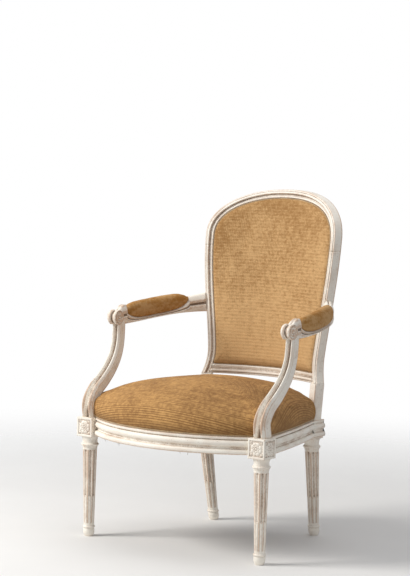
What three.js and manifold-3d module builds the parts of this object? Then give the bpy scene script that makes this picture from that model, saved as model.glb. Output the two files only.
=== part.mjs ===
// Armchair in the Louis XVI manner: painted beech frame, hollow arched back, sprung seat, padded arms.
// Millimetres, +Z up, +Y to the back, floor at zero. While it is built, y is zero at the front leg centres.
import * as THREE from 'three';
import { mergeVertices } from 'three/addons/utils/BufferGeometryUtils.js';
import Module from 'manifold-3d';

const wasm = await Module();
wasm.setup();

// Gaps and cuts shared by every piece
const seam = 0.3; // between two pieces that touch
const overrun = 12; // how far a cutting body runs past what it cuts
const softGap = 0.4; // round stuffed pieces

// Seat frame
const frontLegSpacing = 534;
const rearLegSpacing = 344;
const seatDepth = 360; // front leg centres to rear block centres
const railTop = 307;
const railHeight = 43;
const railThickness = 27;
const mouldingDepth = 6;
const frontBow = 84;
const sideBow = 6;
const rearBow = 34;
const railSetback = 12; // behind the faces of the front blocks
const rearRailSetback = 3;

// Legs: square block above, turned neck, ring, fluted shaft, ring and foot below
const blockSide = 49;
const blockDrop = 6; // below the rails
const rearBlockSide = 50;
const neckRadius = 20;
const neckLength = 21;
const collarRadius = 22.5;
const collarHeight = 6;
const shaftTopRadius = 18.5;
const shaftFootRadius = 13.5;
const ankleRadius = 15.5;
const ankleHeight = 5;
const footHeight = 22;
const footRadius = 14.5;
const footFlatRadius = 10.5;
const rearFootInset = 11; // the rear feet stand this much nearer to the middle than their blocks
const rearFootRake = 38; // and this much further back
const fluteCount = 8;
const fluteDepth = 2.8;
const fluteEndLength = 7;
const cabledHeight = 106; // the flutes are filled with cables up to here
const fluteWidthShare = 0.72;

// Sunk square and rosette on the outer faces of the front blocks
const panelSide = 40;
const panelDepth = 1.5;
const rosetteRadius = 17;
const rosetteHeight = 3.5;
const rosetteEyeRadius = 5;

// Rear leg uprights above the blocks, up to the joint under the back frame
const uprightHeight = 91; // above the rails

// Back frame: hollow in plan, raked, with a waist above its feet and an arched top
const backHeight = 492; // from the joint under it to the top of the arch
const backFootForward = 3.6; // front of the back's feet, before the rear block centres
const backRakeShare = 0.132; // rearward run for each unit of height
const backHollow = 53.6; // how far the feet of the back come forward of its middle
const backWidestHalf = 202;
const backWaistHalf = 172;
const backFootHalf = 182;
const backWaistRise = 59; // waist above the foot
const archRise = 123; // top of the arch above the shoulders
const backCornerPower = 2.2;
const backThickness = 26;
const stileWidth = 25;
const crestWidth = 29;
const bottomRailHeight = 32;
const rebateWidth = 7; // inner part of the frame's face, sunk for the edge of the stuffed panel
const rebateDepth = 8;
const crestJointDrop = 29; // joints in the sides below the shoulders
const waistCurvePower = 1.25;

// Arm supports: a whiplash curve, thicker at its foot
const supportFootSide = 35;
const supportTopSide = 26;
const supportBehindScroll = 13; // its top, behind the scroll's centre
const supportGroove = 2.5;

// Arms: from the scroll straight back, then bent in to the outer side of the back frame
const scrollX = 271;
const scrollY = 100;
const scrollRise = 249; // above the rails
const scrollRadius = 19;
const scrollWidth = 28;
const armBendOut = 5; // corner of the bend, outward of the scroll
const armBendShare = 0.67; // how far back the bend is, as a share of the arm's reach
const armWidth = 26;
const armNeckHeight = 49;
const armWaistHeight = 9;
const armRearHeight = 39; // behind the pad
const armStileHeight = 48;
const armUndersideRise = 24;
const cradleRise = 29; // the wood under the pad rises this much at the pad's ends
const padStart = 34; // along the arm, from the scroll's centre
const padBeforeStile = 52.3; // from its rear end to the end of the arm
const padHeight = 55; // with the wood under it
const padEndDrop = 15;
const padWidth = 40;
const padEndShare = 0.97;
const padTopPower = 6;
const cradlePower = 3.4;
const flarePower = 1.5;
const voluteTurns = 1.5;
const voluteRise = 2;
const voluteBand = 3;

// Upholstery
const seatCrown = 114; // above the rails
const seatBulge = 6;
const seatEdgeInset = 9;
const seatCrownShare = 0.445; // of the seat's depth
const hessianRise = 52;
const hessianThickness = 1.2;
const hessianLap = 9;
const backCrown = 12;
const backPadThickness = 14;
const backCoverThickness = 4;
const backCoverInset = 3;
const backLiningThickness = 1.2;

// Webbing and springs
const webWidth = 46;
const webThickness = 1.4;
const webPitch = 78;
const crossPitch = 100;
const lengthwiseWebCount = 4;
const crosswiseWebCount = 3;
const webLap = 18; // on the underside of each rail
const springWire = 3.6;
const springEndRadius = 36;
const springWaistRadius = 25;
const springTurns = 4;
const springSpacing = 84;

// Mortise and tenon joints and their pegs
const tenonThickness = 9;
const tenonWall = 2; // between the ends of tenons in a block and the dowel that stands in it
const tenonRoot = 6;
const tenonHeight = 28;
const dowelSide = 10;
const dowelLength = 22;
const pegRadius = 2.6;
const pegPast = 3;
const pegEdge = 6; // peg centre to the shoulder of its joint

// Places worked out from the sizes above
const railBottom = railTop - railHeight;
const blockBottom = railBottom - blockDrop;
const blockTop = railTop;
const frontLegX = frontLegSpacing / 2;
const rearLegX = rearLegSpacing / 2;
const frontInnerX = frontLegX - blockSide / 2;
const rearInnerX = rearLegX - rearBlockSide / 2;
const backFoot = railTop + uprightHeight;
const backFootY = seatDepth - backFootForward + backHollow;
const backWaistHeight = backFoot + backWaistRise;
const backTop = backFoot + backHeight;
const backWidestHeight = backTop - archRise;
const crestJointHeight = backWidestHeight - crestJointDrop;
const scrollZ = railTop + scrollRise;
const seatCrownY = seatDepth * seatCrownShare;
const tenonLength = blockSide / 2 - dowelSide / 2 - tenonWall;
const tau = Math.PI * 2;

// Finishes
const paint = new THREE.MeshStandardMaterial({ color: 0xe4d9c6, roughness: 0.6, metalness: 0 });
const cloth = new THREE.MeshStandardMaterial({ color: 0xc09862, roughness: 0.95, metalness: 0 });
const velvet = new THREE.MeshStandardMaterial({ color: 0x9c6f3a, roughness: 0.9, metalness: 0 });
const jute = new THREE.MeshStandardMaterial({ color: 0xa88b63, roughness: 1, metalness: 0 });
const steel = new THREE.MeshStandardMaterial({ color: 0x8d8a84, roughness: 0.4, metalness: 1 });
const beech = new THREE.MeshStandardMaterial({ color: 0xb98f63, roughness: 0.7, metalness: 0 });

// Solids

// Joins the shared corners of a closed geometry, turns it outward and hands it over for joining and cutting
function toSolid(geometry) {
  const bare = geometry.clone();
  bare.deleteAttribute('normal');
  bare.deleteAttribute('uv');
  const merged = mergeVertices(bare);
  const corners = merged.attributes.position.array;
  const triangles = [];
  let volume = 0;
  const a = new THREE.Vector3();
  const b = new THREE.Vector3();
  const c = new THREE.Vector3();
  for (let i = 0; i < merged.index.count; i += 3) {
    const [p, q, r] = [0, 1, 2].map((k) => merged.index.getX(i + k));
    if (p !== q && q !== r && r !== p) {
      triangles.push(p, q, r);
      a.fromArray(corners, 3 * p);
      b.fromArray(corners, 3 * q);
      c.fromArray(corners, 3 * r);
      volume += a.dot(b.cross(c));
    }
  }
  const triVerts = new Uint32Array(volume < 0 ? triangles.reverse() : triangles);
  return new wasm.Manifold(new wasm.Mesh({ numProp: 3, vertProperties: corners, triVerts }));
}

function toGeometry(solid) {
  const mesh = solid.getMesh();
  const geometry = new THREE.BufferGeometry();
  geometry.setAttribute('position', new THREE.BufferAttribute(mesh.vertProperties, 3));
  geometry.setIndex(new THREE.BufferAttribute(mesh.triVerts, 1));
  geometry.computeVertexNormals();
  return geometry;
}

// A closed skin through rings of points. The flat outline, point for point like a ring, shapes the two ends.
function loft(rings, outline) {
  const n = outline.length;
  const positions = rings.flat().flatMap((p) => [p.x, p.y, p.z]);
  const index = [];
  for (let k = 0; k + 1 < rings.length; k += 1) {
    for (let i = 0; i < n; i += 1) {
      const a = k * n + i;
      const b = k * n + ((i + 1) % n);
      index.push(a, b, b + n, a, b + n, a + n);
    }
  }
  const last = (rings.length - 1) * n;
  const turn = Math.sign(THREE.ShapeUtils.area(outline));
  for (const face of THREE.ShapeUtils.triangulateShape(outline, [])) {
    const own = Math.sign(THREE.ShapeUtils.area(face.map((i) => outline[i])));
    const [i, j, k] = own === turn ? face : [face[2], face[1], face[0]];
    index.push(k, j, i, last + i, last + j, last + k);
  }
  const geometry = new THREE.BufferGeometry();
  geometry.setAttribute('position', new THREE.Float32BufferAttribute(positions, 3));
  geometry.setIndex(index);
  return geometry;
}

// A box given by its centre, its three sizes and its turn about the vertical, grown by a clearance
function block(centre, size, turn = 0, grow = 0) {
  const box = new THREE.BoxGeometry(size.x + 2 * grow, size.y + 2 * grow, size.z + 2 * grow);
  box.rotateZ(turn);
  box.translate(centre.x, centre.y, centre.z);
  return box;
}

// A round body from a head point into a direction
function pin(head, into, radius, length) {
  const body = new THREE.CylinderGeometry(radius, radius, length, 8);
  body.translate(0, length / 2, 0);
  body.applyQuaternion(new THREE.Quaternion().setFromUnitVectors(new THREE.Vector3(0, 1, 0), into));
  body.translate(head.x, head.y, head.z);
  return body;
}

const at = (x, y, z) => new THREE.Vector3(x, y, z);
const mix = THREE.MathUtils.lerp;

// The pieces, by name, each with its solid and its finish
const pieces = new Map();

function add(name, geometry, material) {
  pieces.set(name, { solid: toSolid(geometry), material });
}

function addPair(name, geometry, material) {
  add(`right_${name}`, geometry, material);
  add(`left_${name}`, geometry.clone().scale(-1, 1, 1), material);
}

function join(name, geometry) {
  const piece = pieces.get(name);
  piece.solid = piece.solid.add(toSolid(geometry));
}

function cut(name, geometry) {
  const piece = pieces.get(name);
  piece.solid = piece.solid.subtract(toSolid(geometry));
}

function trim(name, geometry) {
  const piece = pieces.get(name);
  piece.solid = piece.solid.intersect(toSolid(geometry));
}

// Runs a step for the right side and then, mirrored in x, for the left side
function bothSides(step) {
  step('right', (geometry) => geometry);
  step('left', (geometry) => geometry.clone().scale(-1, 1, 1));
}

// Legs

// Radius of the turned leg at each height, from the floor to the block
function turnedProfile() {
  const ankle = footHeight + ankleHeight;
  const collar = blockBottom - neckLength;
  const half = collarHeight / 2;
  const shaft = [ankle + ankleHeight / 2, cabledHeight, cabledHeight + fluteEndLength,
    collar - half - 2 * fluteEndLength, collar - half - fluteEndLength];
  const radiusAt = (z) => mix(shaftFootRadius, shaftTopRadius, (z - ankle) / (collar - half - ankle));
  return [
    [footFlatRadius, 0], [footRadius, footHeight * 0.6], [footRadius * 0.9, footHeight],
    [ankleRadius, footHeight + ankleHeight * 0.3], [ankleRadius, ankle],
    ...shaft.map((z) => [radiusAt(z), z]),
    [shaftTopRadius, collar - half], [collarRadius, collar],
    [neckRadius, collar + half], [neckRadius, blockBottom + overrun / 2],
  ];
}

// Depth of the flutes at each height: filled by their cables below, open above, run out under the collar
function fluteDepthAt(z) {
  const end = blockBottom - neckLength - collarHeight / 2 - fluteEndLength;
  return z > cabledHeight && z < end ? fluteDepth : 0;
}

// The turned part of a leg. Its centre line runs straight from the foot to the block.
function turnedLeg(footX, footY, topX, topY) {
  const around = fluteCount * 4;
  const marksShare = [-1, -0.5, 0.5, 1];
  const angles = Array.from({ length: around }, (_, i) => {
    const pitch = tau / fluteCount;
    return pitch * (Math.floor(i / 4) + (marksShare[i % 4] * fluteWidthShare) / 2);
  });
  const outline = angles.map((angle) => new THREE.Vector2(Math.cos(angle), Math.sin(angle)));
  const rings = turnedProfile().map(([radius, z]) => angles.map((angle, i) => {
    const hollow = i % 4 === 1 || i % 4 === 2 ? fluteDepthAt(z) : 0;
    const share = z / blockBottom;
    return at(
      mix(footX, topX, share) + (radius - hollow) * Math.cos(angle),
      mix(footY, topY, share) + (radius - hollow) * Math.sin(angle),
      z,
    );
  }));
  return loft(rings, outline);
}

// A round flower: a raised rim, a hollow and a central eye, facing along +X before it is turned
function rosette(centre, turn) {
  const profile = [
    [0, rosetteHeight], [rosetteEyeRadius, rosetteHeight * 0.8],
    [rosetteEyeRadius * 1.3, rosetteHeight * 0.3],
    [rosetteRadius * 0.8, rosetteHeight * 0.85], [rosetteRadius, rosetteHeight * 0.3],
    [rosetteRadius, -rosetteHeight], [0, -rosetteHeight],
  ].map(([radius, depth]) => new THREE.Vector2(radius, depth));
  const flower = new THREE.LatheGeometry(profile.reverse(), 12);
  flower.rotateZ(-Math.PI / 2);
  flower.rotateZ(turn);
  flower.translate(centre.x, centre.y, centre.z);
  return flower;
}

// Front leg with its square block, sunk panels and rosettes on the two outer faces
function frontLeg() {
  const height = blockTop - blockBottom;
  const middle = (blockTop + blockBottom) / 2;
  const centre = at(frontLegX, 0, middle);
  let solid = toSolid(block(centre, at(blockSide, blockSide, height)));
  const outer = blockSide / 2;
  const sunk = outer - panelDepth / 2 + seam / 2;
  const tool = panelDepth + seam;
  const frontPanel = block(at(frontLegX, -sunk, middle), at(panelSide, tool, panelSide));
  const sidePanel = block(at(frontLegX + sunk, 0, middle), at(tool, panelSide, panelSide));
  solid = solid.subtract(toSolid(frontPanel)).subtract(toSolid(sidePanel));
  solid = solid.add(toSolid(rosette(at(frontLegX, -outer + panelDepth, middle), -Math.PI / 2)));
  solid = solid.add(toSolid(rosette(at(frontLegX + outer - panelDepth, 0, middle), 0)));
  solid = solid.add(toSolid(turnedLeg(frontLegX, 0, frontLegX, 0)));
  return toGeometry(solid);
}

// Seat rails

// The moulding of a rail, from its lower outer edge up: how far in, as a share of the moulding's depth,
// and how high, as a share of the rail. A wide bead, a hollow, a second bead, a quirk and a top strip.
const railMouldingShares = [
  [0.25, 0], [0, 0.08], [0, 0.17], [0.25, 0.26], [1, 0.32], [0.9, 0.44],
  [0.4, 0.5], [0.15, 0.6], [0.3, 0.74], [1, 0.79], [0.8, 0.84], [0.75, 1],
];

// A rail through stations. Each gives its outer point, the outward direction there and its inner point.
function mouldedRail(stations, shares) {
  const outline = shares.map(([inward, up]) => new THREE.Vector2(-inward * mouldingDepth, up * railHeight));
  outline.push(new THREE.Vector2(-railThickness, railHeight), new THREE.Vector2(-railThickness, 0));
  const rings = stations.map(({ outer, outward, inner }) => outline.map((p, i) => {
    const z = railBottom + p.y;
    const face = at(outer.x + outward.x * p.x, outer.y + outward.y * p.x, z);
    return i < shares.length ? face : at(inner.x, inner.y, z);
  }));
  return loft(rings, outline);
}

// Outer line of the front rail: an arc between the blocks
function arcLine(halfChord, bow, steps, reach) {
  const radius = (halfChord ** 2 + bow ** 2) / (2 * bow);
  const limit = Math.asin(Math.min(1, (halfChord + reach) / radius));
  return Array.from({ length: steps + 1 }, (_, i) => {
    const angle = mix(-limit, limit, i / steps);
    return { x: radius * Math.sin(angle), drop: radius * Math.cos(angle) - radius + bow, angle };
  });
}

const frontRailY = -blockSide / 2 + railSetback;

function frontRail() {
  const stations = arcLine(frontInnerX, frontBow, 12, overrun).map(({ x, drop, angle }) => ({
    outer: at(x, frontRailY - drop, 0),
    outward: at(Math.sin(angle), -Math.cos(angle), 0),
    inner: at(x, frontRailY - drop + railThickness, 0),
  }));
  add('front_seat_rail', mouldedRail(stations, railMouldingShares), paint);
  const width = 2 * (frontInnerX - seam);
  trim('front_seat_rail', block(at(0, 0, railTop), at(width, 4 * seatDepth, 4 * railTop)));
}

// Hidden and plain faces have one flat side with eased edges
const plainShares = [[0.3, 0], [0, 0.06], [0, 0.94], [0.3, 1]];
const rearRailY = seatDepth + rearBlockSide / 2 - rearRailSetback;

function rearRail() {
  const stations = arcLine(rearInnerX, rearBow, 8, overrun).map(({ x, drop, angle }) => ({
    outer: at(x, rearRailY + drop, 0),
    outward: at(Math.sin(angle), Math.cos(angle), 0),
    inner: at(x, rearRailY + drop - railThickness, 0),
  }));
  add('rear_seat_rail', mouldedRail(stations, plainShares), paint);
  const width = 2 * (rearInnerX - seam);
  trim('rear_seat_rail', block(at(0, 0, railTop), at(width, 4 * seatDepth, 4 * railTop)));
}

// Outer line of a side rail, from the front block to the rear block, bowed a little outward
const sideFront = at(frontLegX + blockSide / 2 - railSetback, blockSide / 2, 0);
const sideRear = at(rearLegX + rearBlockSide / 2, seatDepth - rearBlockSide / 2, 0);

function sideLine(share) {
  const point = sideFront.clone().lerp(sideRear, share);
  point.x += sideBow * 4 * share * (1 - share);
  return point;
}

function sideRail() {
  const steps = 6;
  const stations = Array.from({ length: steps + 1 }, (_, i) => {
    const share = mix(-overrun / seatDepth, 1 + overrun / seatDepth, i / steps);
    const outer = sideLine(share);
    const along = sideLine(share + 1 / steps).sub(sideLine(share - 1 / steps)).normalize();
    return { outer, outward: at(along.y, -along.x, 0), inner: at(outer.x - railThickness, outer.y, 0) };
  });
  const length = sideRear.y - sideFront.y - 2 * seam;
  const middle = (sideRear.y + sideFront.y) / 2;
  const body = toSolid(mouldedRail(stations, railMouldingShares));
  const between = block(at(0, middle, railTop), at(4 * frontLegSpacing, length, 4 * railTop));
  return toGeometry(body.intersect(toSolid(between)));
}

// Rear leg: turned below, a block whose outer face carries the rail's moulding on, an upright above it

function rearLeg() {
  const height = blockTop - blockBottom;
  const footX = rearLegX - rearFootInset;
  const body = turnedLeg(footX, seatDepth + rearFootRake, rearLegX, seatDepth);
  let solid = toSolid(body);
  const inset = mouldingDepth / 2;
  const core = at(rearLegX - inset, seatDepth, (blockTop + blockBottom) / 2);
  solid = solid.add(toSolid(block(core, at(rearBlockSide - 2 * inset, rearBlockSide, height))));
  const stations = [-1, 1].map((end) => ({
    outer: at(rearLegX + rearBlockSide / 2, seatDepth + end * rearBlockSide / 2, 0),
    outward: at(1, 0, 0),
    inner: at(rearLegX + rearBlockSide / 2 - railThickness, seatDepth + end * rearBlockSide / 2, 0),
  }));
  solid = solid.add(toSolid(mouldedRail(stations, railMouldingShares)));
  return toGeometry(solid.add(toSolid(upright())));
}

// Back frame. Its front face is a surface: raked, and hollow in plan, so that the sides come forward.

function backY(x, z) {
  return backFootY + (z - backFoot) * backRakeShare - backHollow * (x / backFootHalf) ** 2;
}

// Plan slope of the surface, and its turn about the vertical
const backSlope = (x) => (-2 * backHollow * x) / backFootHalf ** 2;
const backTurn = (x) => Math.atan(backSlope(x));

// A point of the surface, or at a depth behind it
function backPoint(x, z, depth) {
  const turn = backTurn(x);
  return at(x - Math.sin(turn) * depth, backY(x, z) + Math.cos(turn) * depth, z);
}

// Outer half width of the frame below its arch: flared at the foot, then out from the waist
function backHalf(z) {
  if (z < backWaistHeight) {
    const down = (backWaistHeight - z) / (backWaistHeight - backFoot);
    return backWaistHalf + (backFootHalf - backWaistHalf) * down ** 2;
  }
  const up = Math.min(1, (z - backWaistHeight) / (backWidestHeight - backWaistHeight));
  return mix(backWaistHalf, backWidestHalf, Math.sin((Math.PI / 2) * up ** waistCurvePower));
}

// Face of the frame: how far in from its outer edge, and how far behind its front, as shares.
// An outer bead, a quirk, a broad hollow, an inner bead; the back is plain with eased edges.
const frameShares = [
  [0.05, 1], [0, 0.9], [0, 0.2], [0.08, 0.03], [0.26, 0], [0.38, 0.08], [0.43, 0.2],
  [0.54, 0.18], [0.8, 0.07], [1, 0.16],
];

// Section of the frame at a width: its moulded face, then the rebate
function frameSection(width) {
  const face = width - rebateWidth;
  const moulded = frameShares.map(([inward, depth]) => [inward * face, depth * backThickness]);
  const rebate = [[face, rebateDepth], [width, rebateDepth], [width, backThickness]];
  return [...moulded, ...rebate].map(([inward, depth]) => new THREE.Vector2(inward, depth));
}

// The same section without its moulding, grown by a gap on its sides and by a reach before and behind
function roomSection(width, gap, past) {
  const face = width - rebateWidth;
  return [
    [-gap, backThickness + past], [-gap, -past], [face + gap, -past], [face + gap, rebateDepth - gap],
    [width + gap, rebateDepth - gap], [width + gap, backThickness + past],
  ].map(([inward, depth]) => new THREE.Vector2(inward, depth));
}

// A plain rectangle, grown by a gap all round
function plainSection(width, gap) {
  return [[-gap, 1], [-gap, 0], [width + gap, 0], [width + gap, 1]].map(([inward, behind]) => (
    new THREE.Vector2(inward, behind * (backThickness + 2 * gap) - gap)));
}

// A section laid on the surface from a point of the outer edge, towards the inside of the frame
function frameRing(section, x, z, inX, inZ) {
  return section.map((p) => backPoint(x + inX * p.x, z + inZ * p.x, p.y));
}

// Stations of a stile: beside the bottom rail, then on up to the crest rail
function stileHeights() {
  const steps = 8;
  const shoulder = backFoot + bottomRailHeight;
  const above = Array.from({ length: steps }, (_, i) => (
    mix(shoulder, crestJointHeight - seam / 2, ((i + 1) / steps) ** 1.15)));
  return [backFoot + seam / 2, shoulder - bottomRailHeight / 2, shoulder, ...above];
}

// Outer half width of the frame on the straight runs between those stations
function stileEdge(z) {
  const heights = stileHeights();
  const i = heights.findIndex((height) => height >= z);
  const share = (z - heights[i - 1]) / (heights[i] - heights[i - 1]);
  return mix(backHalf(heights[i - 1]), backHalf(heights[i]), share);
}

function stile() {
  const section = frameSection(stileWidth);
  return loft(stileHeights().map((z) => frameRing(section, backHalf(z), z, -1, 0)), section);
}

// Half of the arch, from its spring to its top: points with their inward directions
function archPoint(share) {
  const angle = (share * Math.PI) / 2;
  const rise = backTop - backWidestHeight;
  const power = 2 / backCornerPower;
  return new THREE.Vector2(
    backWidestHalf * Math.max(0, Math.cos(angle)) ** power,
    backWidestHeight + rise * Math.sin(angle) ** power,
  );
}

// Stations of the right half of the crest rail: from the joint up, and over the arch to the middle
function crestStations() {
  const steps = 9;
  const side = [crestJointHeight + seam / 2, mix(crestJointHeight, backWidestHeight, 0.6)];
  const stations = side.map((z) => ({ x: backHalf(z), z, inX: -1, inZ: 0, width: stileWidth }));
  for (let i = 0; i <= steps; i += 1) {
    const share = i / steps;
    const before = archPoint(Math.max(0, share - 0.02));
    const after = archPoint(Math.min(1, share + 0.02));
    const along = after.sub(before).normalize();
    const point = archPoint(share);
    const width = mix(stileWidth, crestWidth, Math.min(1, share * 1.5));
    const ends = { 0: [-1, 0], 1: [0, -1] };
    const [inX, inZ] = ends[share] ?? [-along.y, along.x];
    stations.push({ x: point.x, z: point.y, inX, inZ, width });
  }
  return stations;
}

function crestRail() {
  const right = crestStations();
  const left = right.slice(0, -1).reverse().map((s) => ({ ...s, x: -s.x, inX: -s.inX }));
  const rings = [...right, ...left].map((s) => frameRing(frameSection(s.width), s.x, s.z, s.inX, s.inZ));
  return loft(rings, frameSection(stileWidth));
}

// The room that a stile takes between two heights, to cut what butts against it
function stileRoom(lowest, highest, past) {
  const section = roomSection(stileWidth, seam, past);
  const between = stileHeights().filter((z) => z > lowest + seam && z < highest - seam);
  const heights = [lowest, ...between, highest];
  return loft(heights.map((z) => frameRing(section, backHalf(z), z, -1, 0)), section);
}

// The rail runs to the middle of each stile at every height, and the stile's room is cut from it
function bottomRail() {
  const steps = 10;
  const section = frameSection(bottomRailHeight);
  const rings = Array.from({ length: steps + 1 }, (_, i) => section.map((p) => {
    const z = backFoot + seam / 2 + p.x;
    return backPoint(mix(-1, 1, i / steps) * (backHalf(z) - stileWidth / 2), z, p.y);
  }));
  add('back_bottom_rail', loft(rings, section), paint);
  bothSides((side, mirror) => {
    cut('back_bottom_rail', mirror(stileRoom(backFoot - overrun, backWaistHeight + overrun, overrun)));
  });
}

// The part of a rear leg that stands above its block, up to the joint under the stile
function upright() {
  const section = plainSection(stileWidth, 0);
  const heights = [blockTop - overrun, backFoot - seam / 2];
  return loft(heights.map((z) => frameRing(section, backFootHalf, z, -1, 0)), section);
}

// Arms

const armEndZ = scrollZ - scrollRadius + armUndersideRise + armStileHeight / 2;
const armEnd = backPoint(backHalf(armEndZ), armEndZ, backThickness / 2);
const armCurve = new THREE.QuadraticBezierCurve(
  new THREE.Vector2(scrollX, scrollY),
  new THREE.Vector2(scrollX + armBendOut, mix(scrollY, armEnd.y, armBendShare)),
  new THREE.Vector2(armEnd.x, armEnd.y),
);
const armRun = armCurve.getLength();
const armTurn = armCurve.getTangentAt(0).angle();
const padEnd = armRun - padBeforeStile;

// A point at a distance along the arm, a distance across it towards the inside, and a height
function armPoint(along, across, z) {
  const share = THREE.MathUtils.clamp(along / armRun, 0, 1);
  const point = armCurve.getPointAt(share);
  const ahead = armCurve.getTangentAt(share);
  const past = along - share * armRun;
  return at(point.x + ahead.x * past - ahead.y * across, point.y + ahead.y * past + ahead.x * across, z);
}

function armUnderside(along) {
  return scrollZ - scrollRadius + armUndersideRise * THREE.MathUtils.smoothstep(along, 0, armRun);
}

// Height of the arm's wood before the cradle is cut: it swells from the scroll and flares at the stile
function armHeightAt(along) {
  const neck = mix(2 * scrollRadius, armNeckHeight, THREE.MathUtils.smoothstep(along, 0, padStart));
  const flare = Math.max(0, (along - padEnd) / (armRun - padEnd));
  const rear = mix(armRearHeight, armStileHeight, flare ** flarePower);
  return mix(neck, rear, THREE.MathUtils.smoothstep(along, padStart, padEnd));
}

// Height of the cradle's floor over the arm's underside, from -1 at the pad's front end to 1 at its rear end
function cradleAt(end) {
  return armWaistHeight + cradleRise * (1 - Math.sqrt(Math.max(0, 1 - Math.abs(end) ** cradlePower)));
}

// Section of the arm, across and up: rounded below, a shallow hollow along each side
const armShares = [
  [-0.7, 0], [0.7, 0], [1, 0.16], [1, 0.42], [0.86, 0.58], [1, 0.78], [0.8, 1],
  [-0.8, 1], [-1, 0.78], [-0.86, 0.58], [-1, 0.42], [-1, 0.16],
];

function armBody(top) {
  const steps = 10;
  const rings = Array.from({ length: steps + 1 }, (_, i) => {
    const along = mix(0, armRun + overrun / 2, i / steps);
    const lower = armUnderside(along) + (i === 0 ? seam : 0);
    const height = top(along) - (i === 0 ? 2 * seam : 0);
    return armShares.map(([across, up]) => armPoint(along, (across * armWidth) / 2, lower + up * height));
  });
  return loft(rings, armShares.map(([across, up]) => new THREE.Vector2(across, up)));
}

// The rolled end of an arm: two beads round the roll with a groove between them, sunk side faces
function scrollRoll() {
  const half = scrollWidth / 2;
  const profile = [
    [0, -half + voluteRise], [scrollRadius * 0.86, -half + voluteRise], [scrollRadius * 0.9, -half],
    [scrollRadius, -half * 0.75], [scrollRadius, -half * 0.3], [scrollRadius - supportGroove, -half * 0.12],
    [scrollRadius - supportGroove, half * 0.12], [scrollRadius, half * 0.3], [scrollRadius, half * 0.75],
    [scrollRadius * 0.9, half], [scrollRadius * 0.86, half - voluteRise], [0, half - voluteRise],
  ].map(([radius, across]) => new THREE.Vector2(radius, across));
  const roll = new THREE.LatheGeometry(profile, 16);
  roll.rotateZ(armTurn);
  roll.translate(scrollX, scrollY, scrollZ);
  return roll;
}

// A spiral fillet on one side face of the roll, winding in to the eye
function volute(side) {
  const steps = Math.round(voluteTurns * 8);
  const face = (side * scrollWidth) / 2;
  const rings = Array.from({ length: steps + 1 }, (_, i) => {
    const share = i / steps;
    const angle = -Math.PI / 2 + share * voluteTurns * tau;
    const radius = mix(scrollRadius * 0.8, voluteBand * 0.9, share);
    return [[-1, -1], [1, -1], [1, 1], [-1, 1]].map(([out, over]) => {
      const r = radius + (out * voluteBand) / 2;
      const across = face + (over > 0 ? 0 : -side * (voluteRise + seam));
      return armPoint(r * Math.cos(angle), across, scrollZ + r * Math.sin(angle));
    });
  });
  const outline = [[-1, -1], [1, -1], [1, 1], [-1, 1]].map(([a, b]) => new THREE.Vector2(a, b));
  return loft(rings, outline);
}

// What is cut from an arm for its pad: a cradle, low in its middle and rising to the pad's two ends
function padSeat() {
  const corners = [[-1, 0], [1, 0], [1, 1], [-1, 1]];
  const reach = padWidth / 2;
  const rings = padStations().map(({ end, along }) => corners.map(([across, up]) => (
    armPoint(along, across * reach, armUnderside(along) + cradleAt(end) + up * backTop))));
  return loft(rings, corners.map(([a, b]) => new THREE.Vector2(a, b)));
}

// Stations of the pad, closer together at its ends
function padStations() {
  const steps = 10;
  const middle = (padStart + padEnd) / 2;
  return Array.from({ length: steps + 1 }, (_, i) => {
    const end = Math.sin(mix(-Math.PI / 2, Math.PI / 2, i / steps));
    return { end, along: mix(middle, padEnd, end) };
  });
}

function armRest() {
  let solid = toSolid(armBody(armHeightAt)).subtract(toSolid(padSeat()));
  solid = solid.add(toSolid(scrollRoll())).add(toSolid(volute(-1))).add(toSolid(volute(1)));
  return toGeometry(solid.subtract(toSolid(stileRoom(crestJointHeight / 2, crestJointHeight, seam))));
}

// The pad on an arm fills the cradle: a nearly level top, round sides, drawn-in ends
const padShares = [
  [-0.62, 0], [0.62, 0], [0.9, 0.14], [1, 0.4], [0.92, 0.68], [0.6, 0.92],
  [0, 1], [-0.6, 0.92], [-0.92, 0.68], [-1, 0.4], [-0.9, 0.14],
];

function armPad() {
  const rings = padStations().map(({ end, along }) => {
    const inside = end * padEndShare;
    const low = cradleAt(end) + seam;
    const high = padHeight - padEndDrop * Math.abs(end) ** padTopPower;
    const width = (padWidth / 2) * Math.sqrt(1 - Math.abs(inside) ** cradlePower);
    return padShares.map(([across, up]) => (
      armPoint(along - end * seam, across * width, armUnderside(along) + mix(low, high, up))));
  });
  return loft(rings, padShares.map(([across, up]) => new THREE.Vector2(across, up)));
}

// Arm supports

// Centre line of a support, forward-and-up, as shares of its reach and of its height
const supportCurveShares = [
  [0, 0], [-0.03, 0.16], [0.13, 0.29], [0.43, 0.41], [0.68, 0.53], [0.86, 0.657],
  [0.956, 0.785], [0.99, 0.918], [1, 1.06],
];

// Section of a support, across and towards the front: two beads and a groove in front, round behind
const supportShares = [
  [-0.75, -1], [0.75, -1], [1, -0.7], [1, 0.45], [0.86, 0.8], [0.56, 1], [0.26, 0.88],
  [0.14, 0.72], [-0.14, 0.72], [-0.26, 0.88], [-0.56, 1], [-0.86, 0.8], [-1, 0.45], [-1, -0.7],
];

const supportTopY = scrollY + supportBehindScroll;
const supportFootZ = blockTop + seam;

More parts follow.
